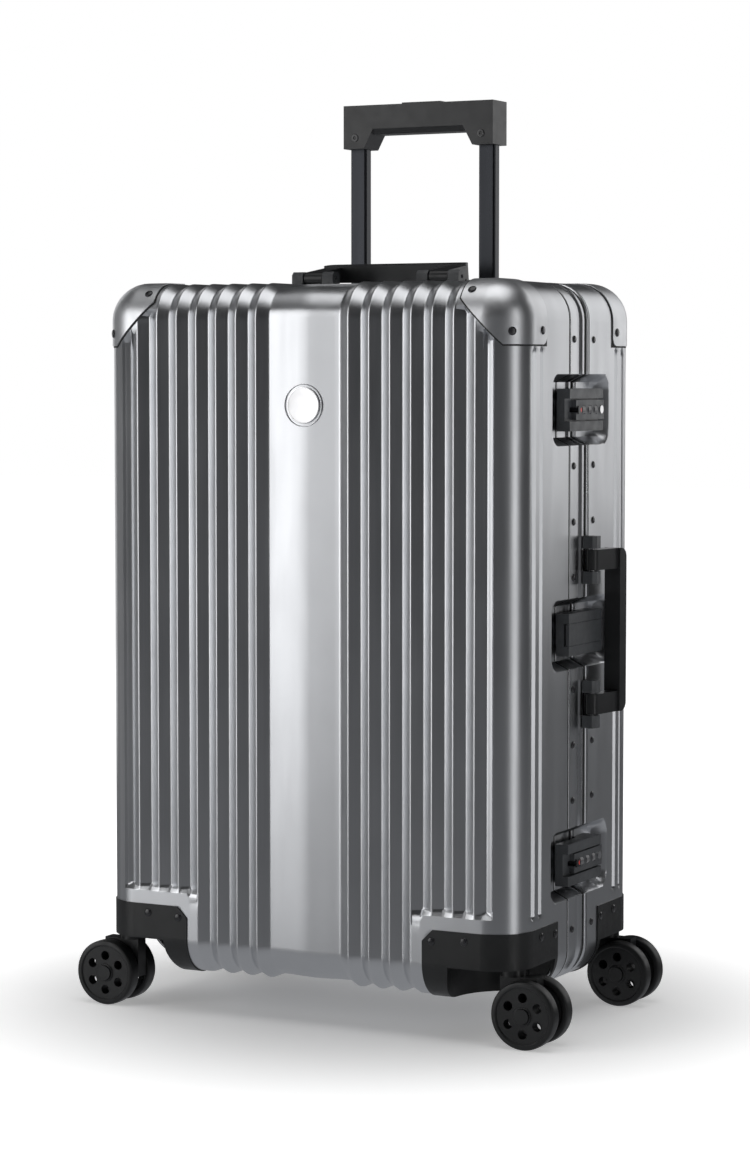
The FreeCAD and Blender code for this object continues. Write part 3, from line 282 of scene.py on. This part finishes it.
def zigzag(x):
    """Depth of the pressed ribs at that X, with the centre panel folded slightly along X = 0."""
    x = abs(x)
    if x <= PANEL:
        return RIB_DEPTH - CREASE * (1 - x / PANEL)
    offset = abs((x - PANEL) % PITCH - PITCH / 2)
    slope = clamp((offset - 0.5) / (PITCH / 2 - 1))
    soft = 0.12 * clamp(1 - abs(offset - 0.5) / 1.0)
    deep = 0.12 * clamp(1 - abs(offset - (PITCH / 2 - 0.5)) / 1.0)
    return RIB_DEPTH * slope + soft - deep


def rib_number(x):
    return int((abs(x) - PANEL + PITCH / 2) // PITCH)


def top_end(x):
    """Height where a valley closes just under the diagonal edge of a corner guard."""
    return GUARD_Z + GUARD_CUT - 3.0 - (abs(x) - GUARD_X)


def face_depth(x, z):
    deep = zigzag(x)
    number = rib_number(x)
    if number >= 4:
        foot = RIB_FOOT - max(0.0, HOUSING_CUT - abs(x))
        deep = min(deep, RIB_DEPTH * clamp((z - foot) / RIB_FADE))
    if number >= 6:
        deep = min(deep, RIB_DEPTH * clamp((top_end(x) - z) / 2.5))
    return deep


def wrap_depth(x, y, top):
    """Rib depth over the top and bottom roundings and on along the walls."""
    number = rib_number(x)
    if number >= 4 and not top:
        return 0.0
    deep = min(zigzag(x), RIB_DEPTH * clamp((abs(y) - 45.0) / 6.0))
    if number >= 6:
        rise = math.sqrt(max(0.0, EDGE ** 2 - max(0.0, abs(y) - CORE_Y) ** 2))
        deep = min(deep, RIB_DEPTH * clamp((top_end(x) - CORE_HIGH - rise) / 2.5))
    return deep


def side_depth(y, z):
    """The two narrow grooves beside the edge rounding."""
    deep = 0.0
    for place in SIDE_RIBS:
        deep = max(deep, 2.5 * clamp(1 - (abs(abs(y) - place) - 0.35) / 2.9))
    ends = min(clamp((z - 106.0) / 4.0), clamp((595.0 - z) / 4.0))
    return deep * ends


def recess_depth(y, z):
    """How far the right wall is pressed in round the three locks."""
    deep = 0.0
    for height in LOCKS:
        across = min(y - RECESS_FRONT, RECESS_REAR - y)
        along = RECESS_HALF - abs(z - height)
        if across <= 0 or along <= 0:
            continue
        radius = 14.0
        if across < radius and along < radius:
            reach = radius - math.hypot(radius - across, radius - along)
        else:
            reach = min(across, along)
        share = clamp(reach / RECESS_SLOPE)
        deep = max(deep, RECESS_DEPTH * (share * share * (3 - 2 * share) * 0.35 + share * 0.65))
    return deep


def tilted(x, z):
    """Rows of the face bend down towards the corners so that they follow the guard's edge."""
    drop = clamp(abs(x) - 154.0, 0.0, CORE_X - 154.0)
    share = clamp((z - 560.0) / 50.0) if z <= 610.0 else clamp((CORE_HIGH - z) / 9.0)
    return z - drop * share


def spread_out(marks, gap):
    """Sorted marks with extra ones in between so that no step is over gap."""
    marks = sorted(set(round(m, 4) for m in marks))
    out = [marks[0]]
    for mark in marks[1:]:
        steps = max(1, math.ceil((mark - out[-1]) / gap - 1e-9))
        start = out[-1]
        out += [start + (mark - start) * k / steps for k in range(1, steps + 1)]
    return out


def column_marks():
    marks = [0.0, 12.0, 24.0, PANEL - 1.5, PANEL + 0.5, HOUSING_CUT, HOUSING_X, CORE_X]
    k = 0
    while PANEL + k * PITCH / 2 < CORE_X:
        middle = PANEL + k * PITCH / 2
        if k:
            marks += [middle - 1.5, middle - 0.5, middle + 0.5, middle + 1.5]
        k += 1
    marks = [m for m in marks if m <= CORE_X]
    marks = spread_out(marks, 8.0)
    return [-m for m in marks[:0:-1]] + marks


def row_marks():
    marks = [CORE_LOW, 80.0, HOUSING_Z, 98.6, 101.0, 103.5, 106.0, 108.0, 109.5, RIB_FOOT, 113.0, 116.0,
             587.0, 590.5, 594.0, 597.0, 600.0, 605.0, 607.5, 610.0, 611.5, 613.0, 615.0, 617.0, CORE_HIGH]
    fine = []
    for height in LOCKS:
        for side in (-1, 1):
            for step in (31.0, 30.2, 29, 27.5, 26, 24.6, 24.0, 23.2, 21, 18.5, 16.0):
                fine.append(height + side * step)
    return spread_out(marks + fine, 12.0)


COLUMNS = column_marks()
ROWS = row_marks()
ARC = 9


def corner_steps(sx, sz):
    """Stations of one rounded corner: core point and outward direction."""
    start = {(1, 1): 0, (-1, 1): 90, (-1, -1): 180, (1, -1): 270}[(sx, sz)]
    core_z = CORE_HIGH if sz > 0 else CORE_LOW
    angles = [math.radians(start + 90 * k / ARC) for k in range(ARC + 1)]
    return [(sx * CORE_X, core_z, math.cos(a), math.sin(a)) for a in angles]


def stations(columns):
    """Round the case anticlockwise seen from the front, starting at the lower right."""
    loop = [(CORE_X, z, 1.0, 0.0) for z in ROWS]
    loop += corner_steps(1, 1)[1:]
    loop += [(x, CORE_HIGH, 0.0, 1.0) for x in columns[::-1][1:]]
    loop += corner_steps(-1, 1)[1:]
    loop += [(-CORE_X, z, -1.0, 0.0) for z in ROWS[::-1][1:]]
    loop += corner_steps(-1, -1)[1:]
    loop += [(x, CORE_LOW, 0.0, -1.0) for x in columns[1:]]
    loop += corner_steps(1, -1)[1:-1]
    return loop


def wall_depth(station, y, theta):
    """How far the case skin is pressed in at a station of the walls or the edge rounding."""
    x, z, nx, nz = station
    if abs(nz) > 0.999:
        return wrap_depth(x, y, nz > 0)
    if abs(nx) < 0.999:
        return 0.0
    deep = side_depth(y, z)
    if nx > 0:
        deep = max(deep, recess_depth(y, z))
    edge_x = CORE_X + EDGE * math.sin(theta)
    if edge_x < CORE_X + 9.6:
        limit = min(clamp((z - RIB_FOOT) / RIB_FADE), clamp((top_end(edge_x) - z) / 2.5))
        deep = max(deep, min(zigzag(edge_x), RIB_DEPTH * limit))
    return deep


def skin_ring(loop, y, radius, sign, theta=math.pi / 2):
    """One ring of points round the case at that Y, distance from the core and slope."""
    ring = []
    for station in loop:
        cx, cz, nx, nz = station
        deep = wall_depth(station, y, theta)
        side = math.sin(theta)
        px = cx + nx * (radius - deep * side)
        pz = cz + nz * (radius - deep * side)
        ring.append((px, y - sign * deep * math.cos(theta), pz))
    return ring


# ---------------------------------------------------------------- shells
def shell(name, sign, wall_edge, body, node, lip):
    """One pressed half: walls, edge rounding and ribbed face, with the wheel corners cut away."""
    mesh = bmesh.new()
    loop = stations(COLUMNS)
    walls = [45.0, HOUSING_Y, 51.0, CORE_Y]
    for place in SIDE_RIBS:
        walls += [place - 3.25, place - 0.35, place + 0.35]
    walls += [SIDE_RIBS[0] + 3.25]
    fine = (58, 57.2, 56, 54.6, 53, 51.6, 51) if sign < 0 else (65, 64.2, 63, 61.6, 60, 58.6, 58)
    walls += list(fine) + [wall_edge]
    walls = [w for w in spread_out(walls, 8.0) if wall_edge <= w <= CORE_Y]
    rings = [skin_ring(loop, sign * y, EDGE - inset, sign) for y, inset in lip]
    rings += [skin_ring(loop, sign * y, EDGE, sign) for y in walls]
    for degrees in (84, 76, 67, 58, 49, 40, 31, 23, 19, 16.7, 14, 11.5, 8.5, 7.1, 5.7, 3.0):
        theta = math.radians(degrees)
        rings.append(skin_ring(loop, sign * (CORE_Y + EDGE * math.cos(theta)),
                               EDGE * math.sin(theta), sign, theta))
    stacked = list(zip(*rings))
    add_grid(mesh, stacked, closed=True, flip=sign > 0)
    face = []
    for x in COLUMNS:
        column = []
        for z in ROWS:
            height = tilted(x, z)
            column.append((x, sign * (HALF_D - face_depth(x, height)), height))
        column[0] = (x, sign * (HALF_D - wrap_depth(x, HALF_D, False)), CORE_LOW)
        column[-1] = (x, sign * (HALF_D - wrap_depth(x, HALF_D, True)), CORE_HIGH)
        face.append(column)
    add_grid(mesh, face, flip=sign > 0)
    # the last ring of the rounding meets the border of the face
    last = skin_ring(loop, sign * HALF_D, 0.0, sign, 0.0)
    border = []
    for station, point in zip(loop, last):
        x, z, nx, nz = station
        if abs(nz) > 0.999:
            point = (x, sign * (HALF_D - wrap_depth(x, HALF_D, nz > 0)), z)
        elif abs(nx) > 0.999:
            height = tilted(CORE_X, z)
            deep = face_depth(x, height)
            if z in (CORE_LOW, CORE_HIGH):
                deep = 0.0
            point = (x, sign * (HALF_D - deep), height)
        border.append(point)
    add_grid(mesh, list(zip(rings[-1], border)), closed=True, flip=sign > 0)
    bmesh.ops.remove_doubles(mesh, verts=mesh.verts, dist=2e-6)
    gone = []
    for poly in mesh.faces:
        middle = poly.calc_center_median() / MM
        if abs(middle.x) > HOUSING_X and middle.z < HOUSING_Z and abs(middle.y) > HOUSING_Y:
            gone.append(poly)
    bmesh.ops.delete(mesh, geom=gone, context="FACES")
    bmesh.ops.dissolve_degenerate(mesh, dist=1e-6, edges=mesh.edges)
    return finish_piece(name, mesh, body, "shell", 25, (node,), thick=1.8)


shell("front_pressed_shell", -1, 23.0, "front_half", "front_shell",
      ((2.0, 3.4), (21.4, 3.4), (22.5, 3.2), (22.5, 0.5)))
shell("rear_pressed_shell", 1, 21.6, "rear_half", "rear_shell", ((21.4, 0.4),))


# ---------------------------------------------------------------- frames and seal
def rim(name, body, slot, profile, replaces=(), sharp=50):
    """A closed profile of (Y, inset) points carried round the case and down into the recesses."""
    mesh = bmesh.new()
    loop = stations(spread_out([-CORE_X, 0, CORE_X], 60.0))
    rings = []
    for y, inset in profile + [profile[0]]:
        ring = []
        for cx, cz, nx, nz in loop:
            deep = recess_depth(y, cz) if nx > 0.999 else 0.0
            reach = EDGE - inset - deep
            ring.append((cx + nx * reach, y, cz + nz * reach))
        rings.append(ring)
    add_grid(mesh, list(zip(*rings)), closed=True)
    bmesh.ops.remove_doubles(mesh, verts=mesh.verts, dist=1e-6)
    bmesh.ops.recalc_face_normals(mesh, faces=mesh.faces)
    return finish_piece(name, mesh, body, slot, sharp, replaces)


rim("front_rim", "front_half", "frame",
    [(-19.9, 1.0), (-19.4, 0.35), (-18.6, 0.1), (-6.0, 0.1), (-5.2, 0.3), (-4.4, 1.2), (-3.2, 1.7),
     (-0.5, 1.7), (2.2, 1.7), (3.4, 1.3), (4.6, 0.5), (6.2, 0.08), (8.6, 0.0), (10.8, 0.35), (12.3, 1.5),
     (12.9, 3.0), (13.0, 12.0), (10.0, 12.0), (9.8, 4.0), (-19.9, 3.2)], ("front_frame",))
rim("front_rim_edging", "front_half", "seal",
    [(-22.6, 0.6), (-22.2, 0.2), (-20.2, 0.2), (-19.9, 0.6), (-19.9, 3.3), (-22.6, 3.3)])
rim("rim_seal", "rear_half", "seal",
    [(13.05, 1.8), (13.4, 1.2), (14.4, 1.0), (14.9, 1.6), (15.4, 1.0), (16.5, 1.1), (17.0, 1.7),
     (17.0, 7.0), (13.05, 7.0)], ("gasket",))
rim("rear_rim", "rear_half", "frame",
    [(17.05, 12.0), (17.05, 2.4), (17.3, 1.2), (18.2, 0.35), (19.4, 0.05), (20.6, 0.1), (21.2, 0.5),
     (21.2, 2.4), (40.0, 2.4), (40.0, 5.3), (20.4, 5.3), (20.2, 12.0)], ("rear_frame",))


# ---------------------------------------------------------------- corner guards
def cut_away(mesh, point, normal):
    """Removes what lies beyond a plane, point in millimetres."""
    geometry = list(mesh.verts) + list(mesh.edges) + list(mesh.faces)
    bmesh.ops.bisect_plane(mesh, geom=geometry, plane_co=Vector(point) * MM,
                           plane_no=Vector(normal), clear_outer=True, dist=1e-6)


def corner_skin(radius):
    """The right front top corner of the case grown to that edge radius."""
    mesh = bmesh.new()
    steps = 14
    loop = [(CORE_X, z, 1.0, 0.0) for z in (560.0, 590.0, CORE_HIGH)]
    loop += [(CORE_X, CORE_HIGH, math.cos(a), math.sin(a))
             for a in (math.pi / 2 * k / steps for k in range(1, steps + 1))]
    loop += [(x, CORE_HIGH, 0.0, 1.0) for x in (160.0, 130.0)]
    rings = []
    for y in (-50.0, -75.0, -CORE_Y):
        rings.append([(cx + nx * radius, y, cz + nz * radius) for cx, cz, nx, nz in loop])
    for k in range(1, steps + 1):
        theta = math.pi / 2 * (1 - k / steps)
        y = -CORE_Y - radius * math.cos(theta)
        reach = radius * math.sin(theta)
        rings.append([(cx + nx * reach, y, cz + nz * reach) for cx, cz, nx, nz in loop])
    add_grid(mesh, list(zip(*rings)))
    flat = [[(x, -CORE_Y - radius, z) for z in (560.0, 590.0, CORE_HIGH)] for x in (130.0, 160.0, CORE_X)]
    add_grid(mesh, flat)
    bmesh.ops.remove_doubles(mesh, verts=mesh.verts, dist=1e-6)
    bmesh.ops.dissolve_degenerate(mesh, dist=1e-6, edges=mesh.edges)
    return mesh


def cap_pair(end, radius, spread, rounded):
    """Both top corners of one half, cut to the outline of the caps; spread widens the outline."""
    whole = bmesh.new()
    for hand in (1, -1):
        mesh = corner_skin(radius)
        cut_away(mesh, (GUARD_X - spread, 0, 0), (-1, 0, 0))
        cut_away(mesh, (0, 0, GUARD_Z - spread), (0, 0, -1))
        cut_away(mesh, (0, -GUARD_Y + spread, 0), (0, 1, 0))
        cut_away(mesh, (GUARD_X, 0, GUARD_Z + GUARD_CUT - spread * 1.4), (-1, 0, -1))
        for k in range(1, 6 if rounded else 1):
            angle = math.pi / 2 * k / 6
            centre = Vector((0, -GUARD_Y - 8, GUARD_Z + 8))
            way = Vector((0, math.sin(angle), -math.cos(angle)))
            cut_away(mesh, centre + way * 8, way)
        flip = Matrix.Diagonal((hand, 1 if end == "front" else -1, 1, 1))
        bmesh.ops.transform(mesh, matrix=flip, verts=mesh.verts)
        bmesh.ops.recalc_face_normals(mesh, faces=mesh.faces)
        middle = Vector((hand * CORE_X, (-1 if end == "front" else 1) * CORE_Y, CORE_HIGH)) * MM
        probe = max(mesh.faces, key=lambda f: f.calc_area())
        if (probe.calc_center_median() - middle).dot(probe.normal) < 0:
            bmesh.ops.reverse_faces(mesh, faces=mesh.faces)
        data = bpy.data.meshes.new("cap_part")
        mesh.to_mesh(data)
        mesh.free()
        whole.from_mesh(data)
        bpy.data.meshes.remove(data)
    return whole


for end in ("front", "rear"):
    caps = cap_pair(end, EDGE + GUARD_WALL, 0.0, True)
    finish_piece("corner_caps_" + end, caps, end + "_half", "guard", 50,
                 ("corner_guards_" + end,), thick=1.9, bevel=0.45)
    # painted shade: a black sheet a little wider than each cap stands for the shadowed gap round the cap
    shade_sheet = cap_pair(end, EDGE + 0.35, 1.5, False)
    finish_piece("cap_shade_sheet_" + end, shade_sheet, end + "_half", "seal", 50, thick=0.6)


# ---------------------------------------------------------------- rivets
def rivet_places(end):
    """Every rivet of one half: point and outward direction."""
    sign = -1 if end == "front" else 1
    y = -11.7 if end == "front" else 30.8
    lift = 0.0 if end == "front" else -0.1
    frame_ones, corner_ones = [], []
    for step in (-5.33, -3, -2, -1, 1, 2, 3, 5.25):
        height = SIDE_MIDDLE + step * RIVET_PITCH
        frame_ones.append(((HALF_W + lift, y, height), (1, 0, 0)))
        frame_ones.append(((-HALF_W - lift, y, height), (-1, 0, 0)))
    for height in LOCKS:
        for hand in (-15, 15):
            frame_ones.append(((-HALF_W - 2, y, height + hand), (-1, 0, 0)))
    for step in (-3, -2, -1, 0, 1, 2, 3):
        frame_ones.append(((step * RIVET_PITCH, y, TOP), (0, 0, 1)))
        frame_ones.append(((step * 0.75 * RIVET_PITCH, y, BASE), (0, 0, -1)))
    rim_reach = (EDGE + GUARD_WALL) * math.sqrt(0.5)
    for way in (1, -1):
        corner_ones += [
            ((way * (GUARD_X + 8), sign * (CORE_Y + rim_reach), CORE_HIGH + rim_reach), (0, sign, 1)),
            ((way * (CORE_X + rim_reach), sign * (CORE_Y + rim_reach), GUARD_Z + 11), (way, sign, 0)),
            ((way * (HALF_W + GUARD_WALL), sign * (GUARD_Y + 9), GUARD_Z + 12), (way, 0, 0)),
            ((way * 126, sign * (HALF_D + 1), 88), (0, sign, 0)),
            ((way * 157, sign * (HALF_D + 1), 90), (0, sign, 0)),
            ((way * (HALF_W + 1), sign * 79, 90), (way, 0, 0)),
            ((way * (HALF_W + 1), sign * 49.5, 88), (way, 0, 0)),
        ]
    return frame_ones, corner_ones


def rivets(end):
    for kind, scale, places in zip(("frame", "corner"), (1.07, 1.25), rivet_places(end)):
        mesh = bmesh.new()
        for point, axis in places:
            dome = [(0.0, -1.0), (2.6, -1.0), (3.0, -0.3), (3.0, 0.1), (2.93, 0.45), (2.7, 0.8),
                    (2.25, 1.08), (1.6, 1.24), (0.8, 1.3), (0.0, 1.3)]
            add_lathe(mesh, [(r * scale, h) for r, h in dome], facing(point, axis), 20)
        finish_piece("%s_domes_%s" % (kind, end), mesh, end + "_half", "rivet", 60,
                     ("%s_rivets_%s" % (kind, end),))


rivets("front")
rivets("rear")


# ---------------------------------------------------------------- wheels
def circle(radius, steps, level, put, centre=(0.0, 0.0)):
    """Points of a circle on a wheel's face."""
    return [put(centre[0] + radius * math.cos(math.tau * i / steps),
                centre[1] + radius * math.sin(math.tau * i / steps), level) for i in range(steps)]


def web_face(mesh, level, put, holes):
    """The flat web of a wheel between its tyre and its cap, with its round holes."""
    edges = []
    rings = [circle(23.6, 72, level, put), circle(CAP_R, 36, level, put)]
    rings += [circle(HOLE_R, 24, level, put, centre) for centre in holes]
    for ring in rings:
        verts = [mesh.verts.new(point * MM) for point in ring]
        edges += [mesh.edges.new((verts[i], verts[(i + 1) % len(verts)])) for i in range(len(verts))]
    bmesh.ops.triangle_fill(mesh, edges=edges, use_beauty=True)


def wheel(end, hand, place):
    """One wheel of a twin: tyre with rounded shoulders, dished web with six holes, and cap."""
    name = "wheel_%s_%s_%s" % (end, hand, place)
    low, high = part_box(name)
    centre = (Vector(low) + Vector(high)) / 2 / MM
    sign = -1 if end == "front" else 1
    outward = sign if place == "outer" else -sign
    half = WHEEL_HALF
    beside = TWIN_Y if place == "outer" else -TWIN_Y
    put = facing((centre.x, sign * (STEM_Y + beside), WHEEL_R), (0, outward, 0))
    mesh = bmesh.new()
    tyre = [(24.0, -half + 1.2), (25.0, -half), (27.6, -half), (28.8, -half + 0.7), (29.3, -half + 1.8),
            (29.45, -2.0), (29.45, 2.0), (29.3, half - 1.8), (28.8, half - 0.7), (27.6, half),
            (25.2, half), (24.4, half - 0.5), (24.2, half - 1.3), (23.6, half - 1.3)]
    add_lathe(mesh, tyre, put, 72)
    web_front, web_back = half - 1.3, -half + 1.2
    turns = [math.tau * (k + 0.5) / HOLES for k in range(HOLES)]
    holes = [(HOLE_RING * math.cos(turn), HOLE_RING * math.sin(turn)) for turn in turns]
    for level in (web_front, web_back):
        web_face(mesh, level, put, holes)
    for hole in holes:
        bored = [circle(HOLE_R, 24, level, put, hole) for level in (web_front, web_back)]
        add_grid(mesh, [ring + ring[:1] for ring in bored])
    back = [(CAP_R, web_back), (CAP_R, -half + 0.2), (4.0, -half + 0.2), (4.0, web_back + 1),
            (0.0, web_back + 1)]
    add_lathe(mesh, back, put, 36)
    cap = [(CAP_R, web_front), (8.1, half - 0.5), (7.7, half - 0.1), (7.0, half), (6.6, half - 0.2),
           (6.5, half - 0.9), (6.2, half - 0.9), (6.1, half + 0.5), (5.6, half + 1.0), (3.0, half + 1.15),
           (0.0, half + 1.15)]
    add_lathe(mesh, cap, put, 36)
    bmesh.ops.remove_doubles(mesh, verts=mesh.verts, dist=1e-6)
    bmesh.ops.recalc_face_normals(mesh, faces=mesh.faces)
    finish_piece("moulded_" + name, mesh, name, "wheel", 32, (name,), bevel=0.25)


for end, hand in CORNERS:
    for place in ("outer", "inner"):
        wheel(end, hand, place)


# ---------------------------------------------------------------- wheel well webs
def well_webs(end):
    """Thin webs that part each wheel well from the inside of the case, beside the rounded bottom corner."""
    sign = -1 if end == "front" else 1
    mesh = bmesh.new()
    for way in (1, -1):
        arc = [(CORE_X + 30.6 * math.sin(a), CORE_LOW - 30.6 * math.cos(a))
               for a in (math.radians(6 + 84 * k / 10) for k in range(11))]
        outline = arc + [(CORE_X + 30.6, 73.0), (CORE_X + 3.0, 73.0)]
        sides = []
        for y in (45.4, 46.9):
            sides.append([mesh.verts.new(Vector((way * x, sign * y, z)) * MM) for x, z in outline])
        count = len(outline)
        for i in range(count):
            j = (i + 1) % count
            mesh.faces.new((sides[0][i], sides[0][j], sides[1][j], sides[1][i]))
        mesh.faces.new(sides[0][::-1])
        mesh.faces.new(sides[1])
    bmesh.ops.recalc_face_normals(mesh, faces=mesh.faces)
    finish_piece("well_webs_" + end, mesh, end + "_half", "housing", 35, bevel=0.3)


well_webs("front")
well_webs("rear")


# ---------------------------------------------------------------- grip screws
def grip_screws():
    """Socket screws that hold the grip's feet to the tubes, front and rear."""
    low, high = [Vector(v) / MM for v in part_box("trolley_grip")]
    mesh = bmesh.new()
    for way in (1, -1):
        for face, axis in ((low.y, (0, -1, 0)), (high.y, (0, 1, 0))):
            point = (way * 65.0, face, low.z + 10.0)
            head = [(0.0, -0.8), (3.7, -0.8), (3.7, 0.15), (3.5, 0.45), (3.0, 0.55), (1.7, 0.5), (1.55, 0.35),
                    (1.55, -0.6), (0.0, -0.6)]
            add_lathe(mesh, head, facing(point, axis), 24)
    finish_piece("grip_screws", mesh, "trolley", "rivet", 40)


grip_screws()


# ---------------------------------------------------------------- badge
def badge_piece():
    """A raised ring and a plain disc, with a black ring of painted shade lining the groove between them."""
    put = facing((0, -(HALF_D - RIB_DEPTH + CREASE) + 0.9, BADGE_Z), (0, -1, 0))
    ring = [(BADGE_RIM, -1.5), (BADGE_R, -1.5), (BADGE_R, 0.9), (18.6, 1.25), (18.3, 1.35), (18.0, 1.25),
            (BADGE_RIM, 0.3), (BADGE_RIM, -1.5)]
    disc = [(BADGE_DISC, -1.5), (BADGE_DISC, 1.05), (15.9, 1.35), (15.6, 1.5), (15.0, 1.52), (14.7, 1.35),
            (8.0, 1.38), (0.0, 1.38)]
    mesh = bmesh.new()
    add_lathe(mesh, ring, put, 96)
    add_lathe(mesh, disc, put, 96)
    finish_piece("round_badge", mesh, "front_half", "badge", 30, ("badge",))
    mesh = bmesh.new()
    # painted shade: this black ring stands for the shadow in the groove between the disc and the ring
    groove = [(BADGE_DISC, -1.0), (BADGE_DISC, 0.3), (BADGE_RIM, 0.1), (BADGE_RIM, -1.0)]
    add_lathe(mesh, groove, put, 96)
    finish_piece("badge_groove_shade", mesh, "front_half", "seal", 30)


badge_piece()


# ---------------------------------------------------------------- carried-over nodes
def dress_frame_nodes():
    """Better finishes on the CAD nodes that stay."""
    slots = {part["node"]: part["material_slot"] for part in frame["record"]["subparts"]}
    for name, node in frame["nodes"].items():
        if not node.material_slots:
            node.data.materials.append(MATERIALS[slots[name]])
        for place in node.material_slots:
            place.material = MATERIALS[slots[name]]


dress_frame_nodes()


# ---------------------------------------------------------------- stage, light and camera
def stage_floor():
    mesh = bmesh.new()
    size = 12000.0
    add_grid(mesh, [[(-size, -size, 0), (-size, size, 0)], [(size, -size, 0), (size, size, 0)]], flip=True)
    data = bpy.data.meshes.new("studio_floor")
    mesh.to_mesh(data)
    mesh.free()
    floor = bpy.data.objects.new("studio_floor", data)
    bpy.context.collection.objects.link(floor)
    material, tree, shader = node_tree("pale_floor")
    shader.inputs["Roughness"].default_value = 0.9
    shader.inputs["Specular IOR Level"].default_value = 0.0
    tint = ramp(tree, noise(tree, 0.8, 2.0), (0.86, 0.86, 0.86), (0.88, 0.88, 0.88))
    tree.links.new(tint, shader.inputs["Base Color"])
    # The floor glows. Its emission is 0.16 near the case and rises to 1.0 beyond 0.58 m, so the darker floor
    # round the case is painted shade, and the far floor glows white.
    shader.inputs["Emission Color"].default_value = (1, 1, 1, 1)
    place = tree.nodes.new("ShaderNodeTexCoord")
    reach = tree.nodes.new("ShaderNodeVectorMath")
    reach.operation = "LENGTH"
    tree.links.new(place.outputs["Object"], reach.inputs[0])
    fade = tree.nodes.new("ShaderNodeMapRange")
    fade.interpolation_type = "SMOOTHSTEP"
    for socket, value in (("From Min", 0.08), ("From Max", 0.58), ("To Min", 0.16), ("To Max", 1.0)):
        fade.inputs[socket].default_value = value
    tree.links.new(reach.outputs["Value"], fade.inputs["Value"])
    tree.links.new(fade.outputs["Result"], shader.inputs["Emission Strength"])
    floor.data.materials.append(material)
    floor.visible_glossy = False


def softbox(name, azimuth, elevation, distance, wide, tall, power, aim=(0.0, 0.0, 0.35)):
    """An area light; azimuth 0 is in front of the case and 90 to its right."""
    lamp = bpy.data.lights.new(name, "AREA")
    lamp.shape = "RECTANGLE"
    lamp.size = wide
    lamp.size_y = tall
    lamp.energy = power
    obj = bpy.data.objects.new(name, lamp)
    bpy.context.collection.objects.link(obj)
    a, e = math.radians(azimuth), math.radians(elevation)
    way = Vector((math.sin(a) * math.cos(e), -math.cos(a) * math.cos(e), math.sin(e)))
    obj.location = Vector(aim) + way * distance
    obj.rotation_euler = (-way).to_track_quat("-Z", "Y").to_euler()
    return obj


def studio():
    world = bpy.data.worlds.new("studio")
    bpy.context.scene.world = world
    world.use_nodes = True
    tree = world.node_tree
    background = tree.nodes["Background"]
    seen = tree.nodes.new("ShaderNodeBackground")
    seen.inputs["Color"].default_value = (1, 1, 1, 1)
    seen.inputs["Strength"].default_value = 1.0
    background.inputs["Color"].default_value = (0.5, 0.51, 0.53, 1)
    place = tree.nodes.new("ShaderNodeTexCoord")
    split = tree.nodes.new("ShaderNodeSeparateXYZ")
    tree.links.new(place.outputs["Generated"], split.inputs[0])
    fade = tree.nodes.new("ShaderNodeMapRange")
    fade.interpolation_type = "SMOOTHSTEP"
    for socket, value in (("From Min", -0.42), ("From Max", -0.02), ("To Min", 0.62), ("To Max", 0.05)):
        fade.inputs[socket].default_value = value
    tree.links.new(split.outputs["Z"], fade.inputs["Value"])
    tree.links.new(fade.outputs["Result"], background.inputs["Strength"])
    path = tree.nodes.new("ShaderNodeLightPath")
    mix = tree.nodes.new("ShaderNodeMixShader")
    tree.links.new(path.outputs["Is Camera Ray"], mix.inputs[0])
    tree.links.new(background.outputs[0], mix.inputs[1])
    tree.links.new(seen.outputs[0], mix.inputs[2])
    tree.links.new(mix.outputs[0], tree.nodes["World Output"].inputs["Surface"])
    softbox("key_left", -39.5, 10, 3.2, 1.8, 2.5, 28)
    softbox("fill_left", -88, 8, 3.0, 0.9, 2.4, 1.3)
    softbox("side_right", 76, 4, 3.2, 1.0, 2.6, 10)
    softbox("back_right", 158, 17, 3.2, 2.0, 2.2, 14)
    softbox("rear_left", 238, 12, 3.2, 1.4, 2.4, 9)
    softbox("overhead", 10, 80, 2.6, 2.6, 2.0, 22)


def camera():
    lens = bpy.data.cameras.new("view")
    lens.lens = 95.4
    lens.sensor_width = 36
    lens.sensor_fit = "AUTO"
    lens.clip_end = 60
    eye = bpy.data.objects.new("view", lens)
    bpy.context.collection.objects.link(eye)
    yaw, pitch = math.radians(27.28), math.radians(3.75)
    eye.location = (1.2655, -2.4452, 0.571)
    way = Vector((-math.sin(yaw) * math.cos(pitch), math.cos(yaw) * math.cos(pitch), -math.sin(pitch)))
    eye.rotation_euler = way.to_track_quat("-Z", "Y").to_euler()
    bpy.context.scene.camera = eye


stage_floor()
studio()
camera()
bpy.context.scene.view_settings.view_transform = "Standard"
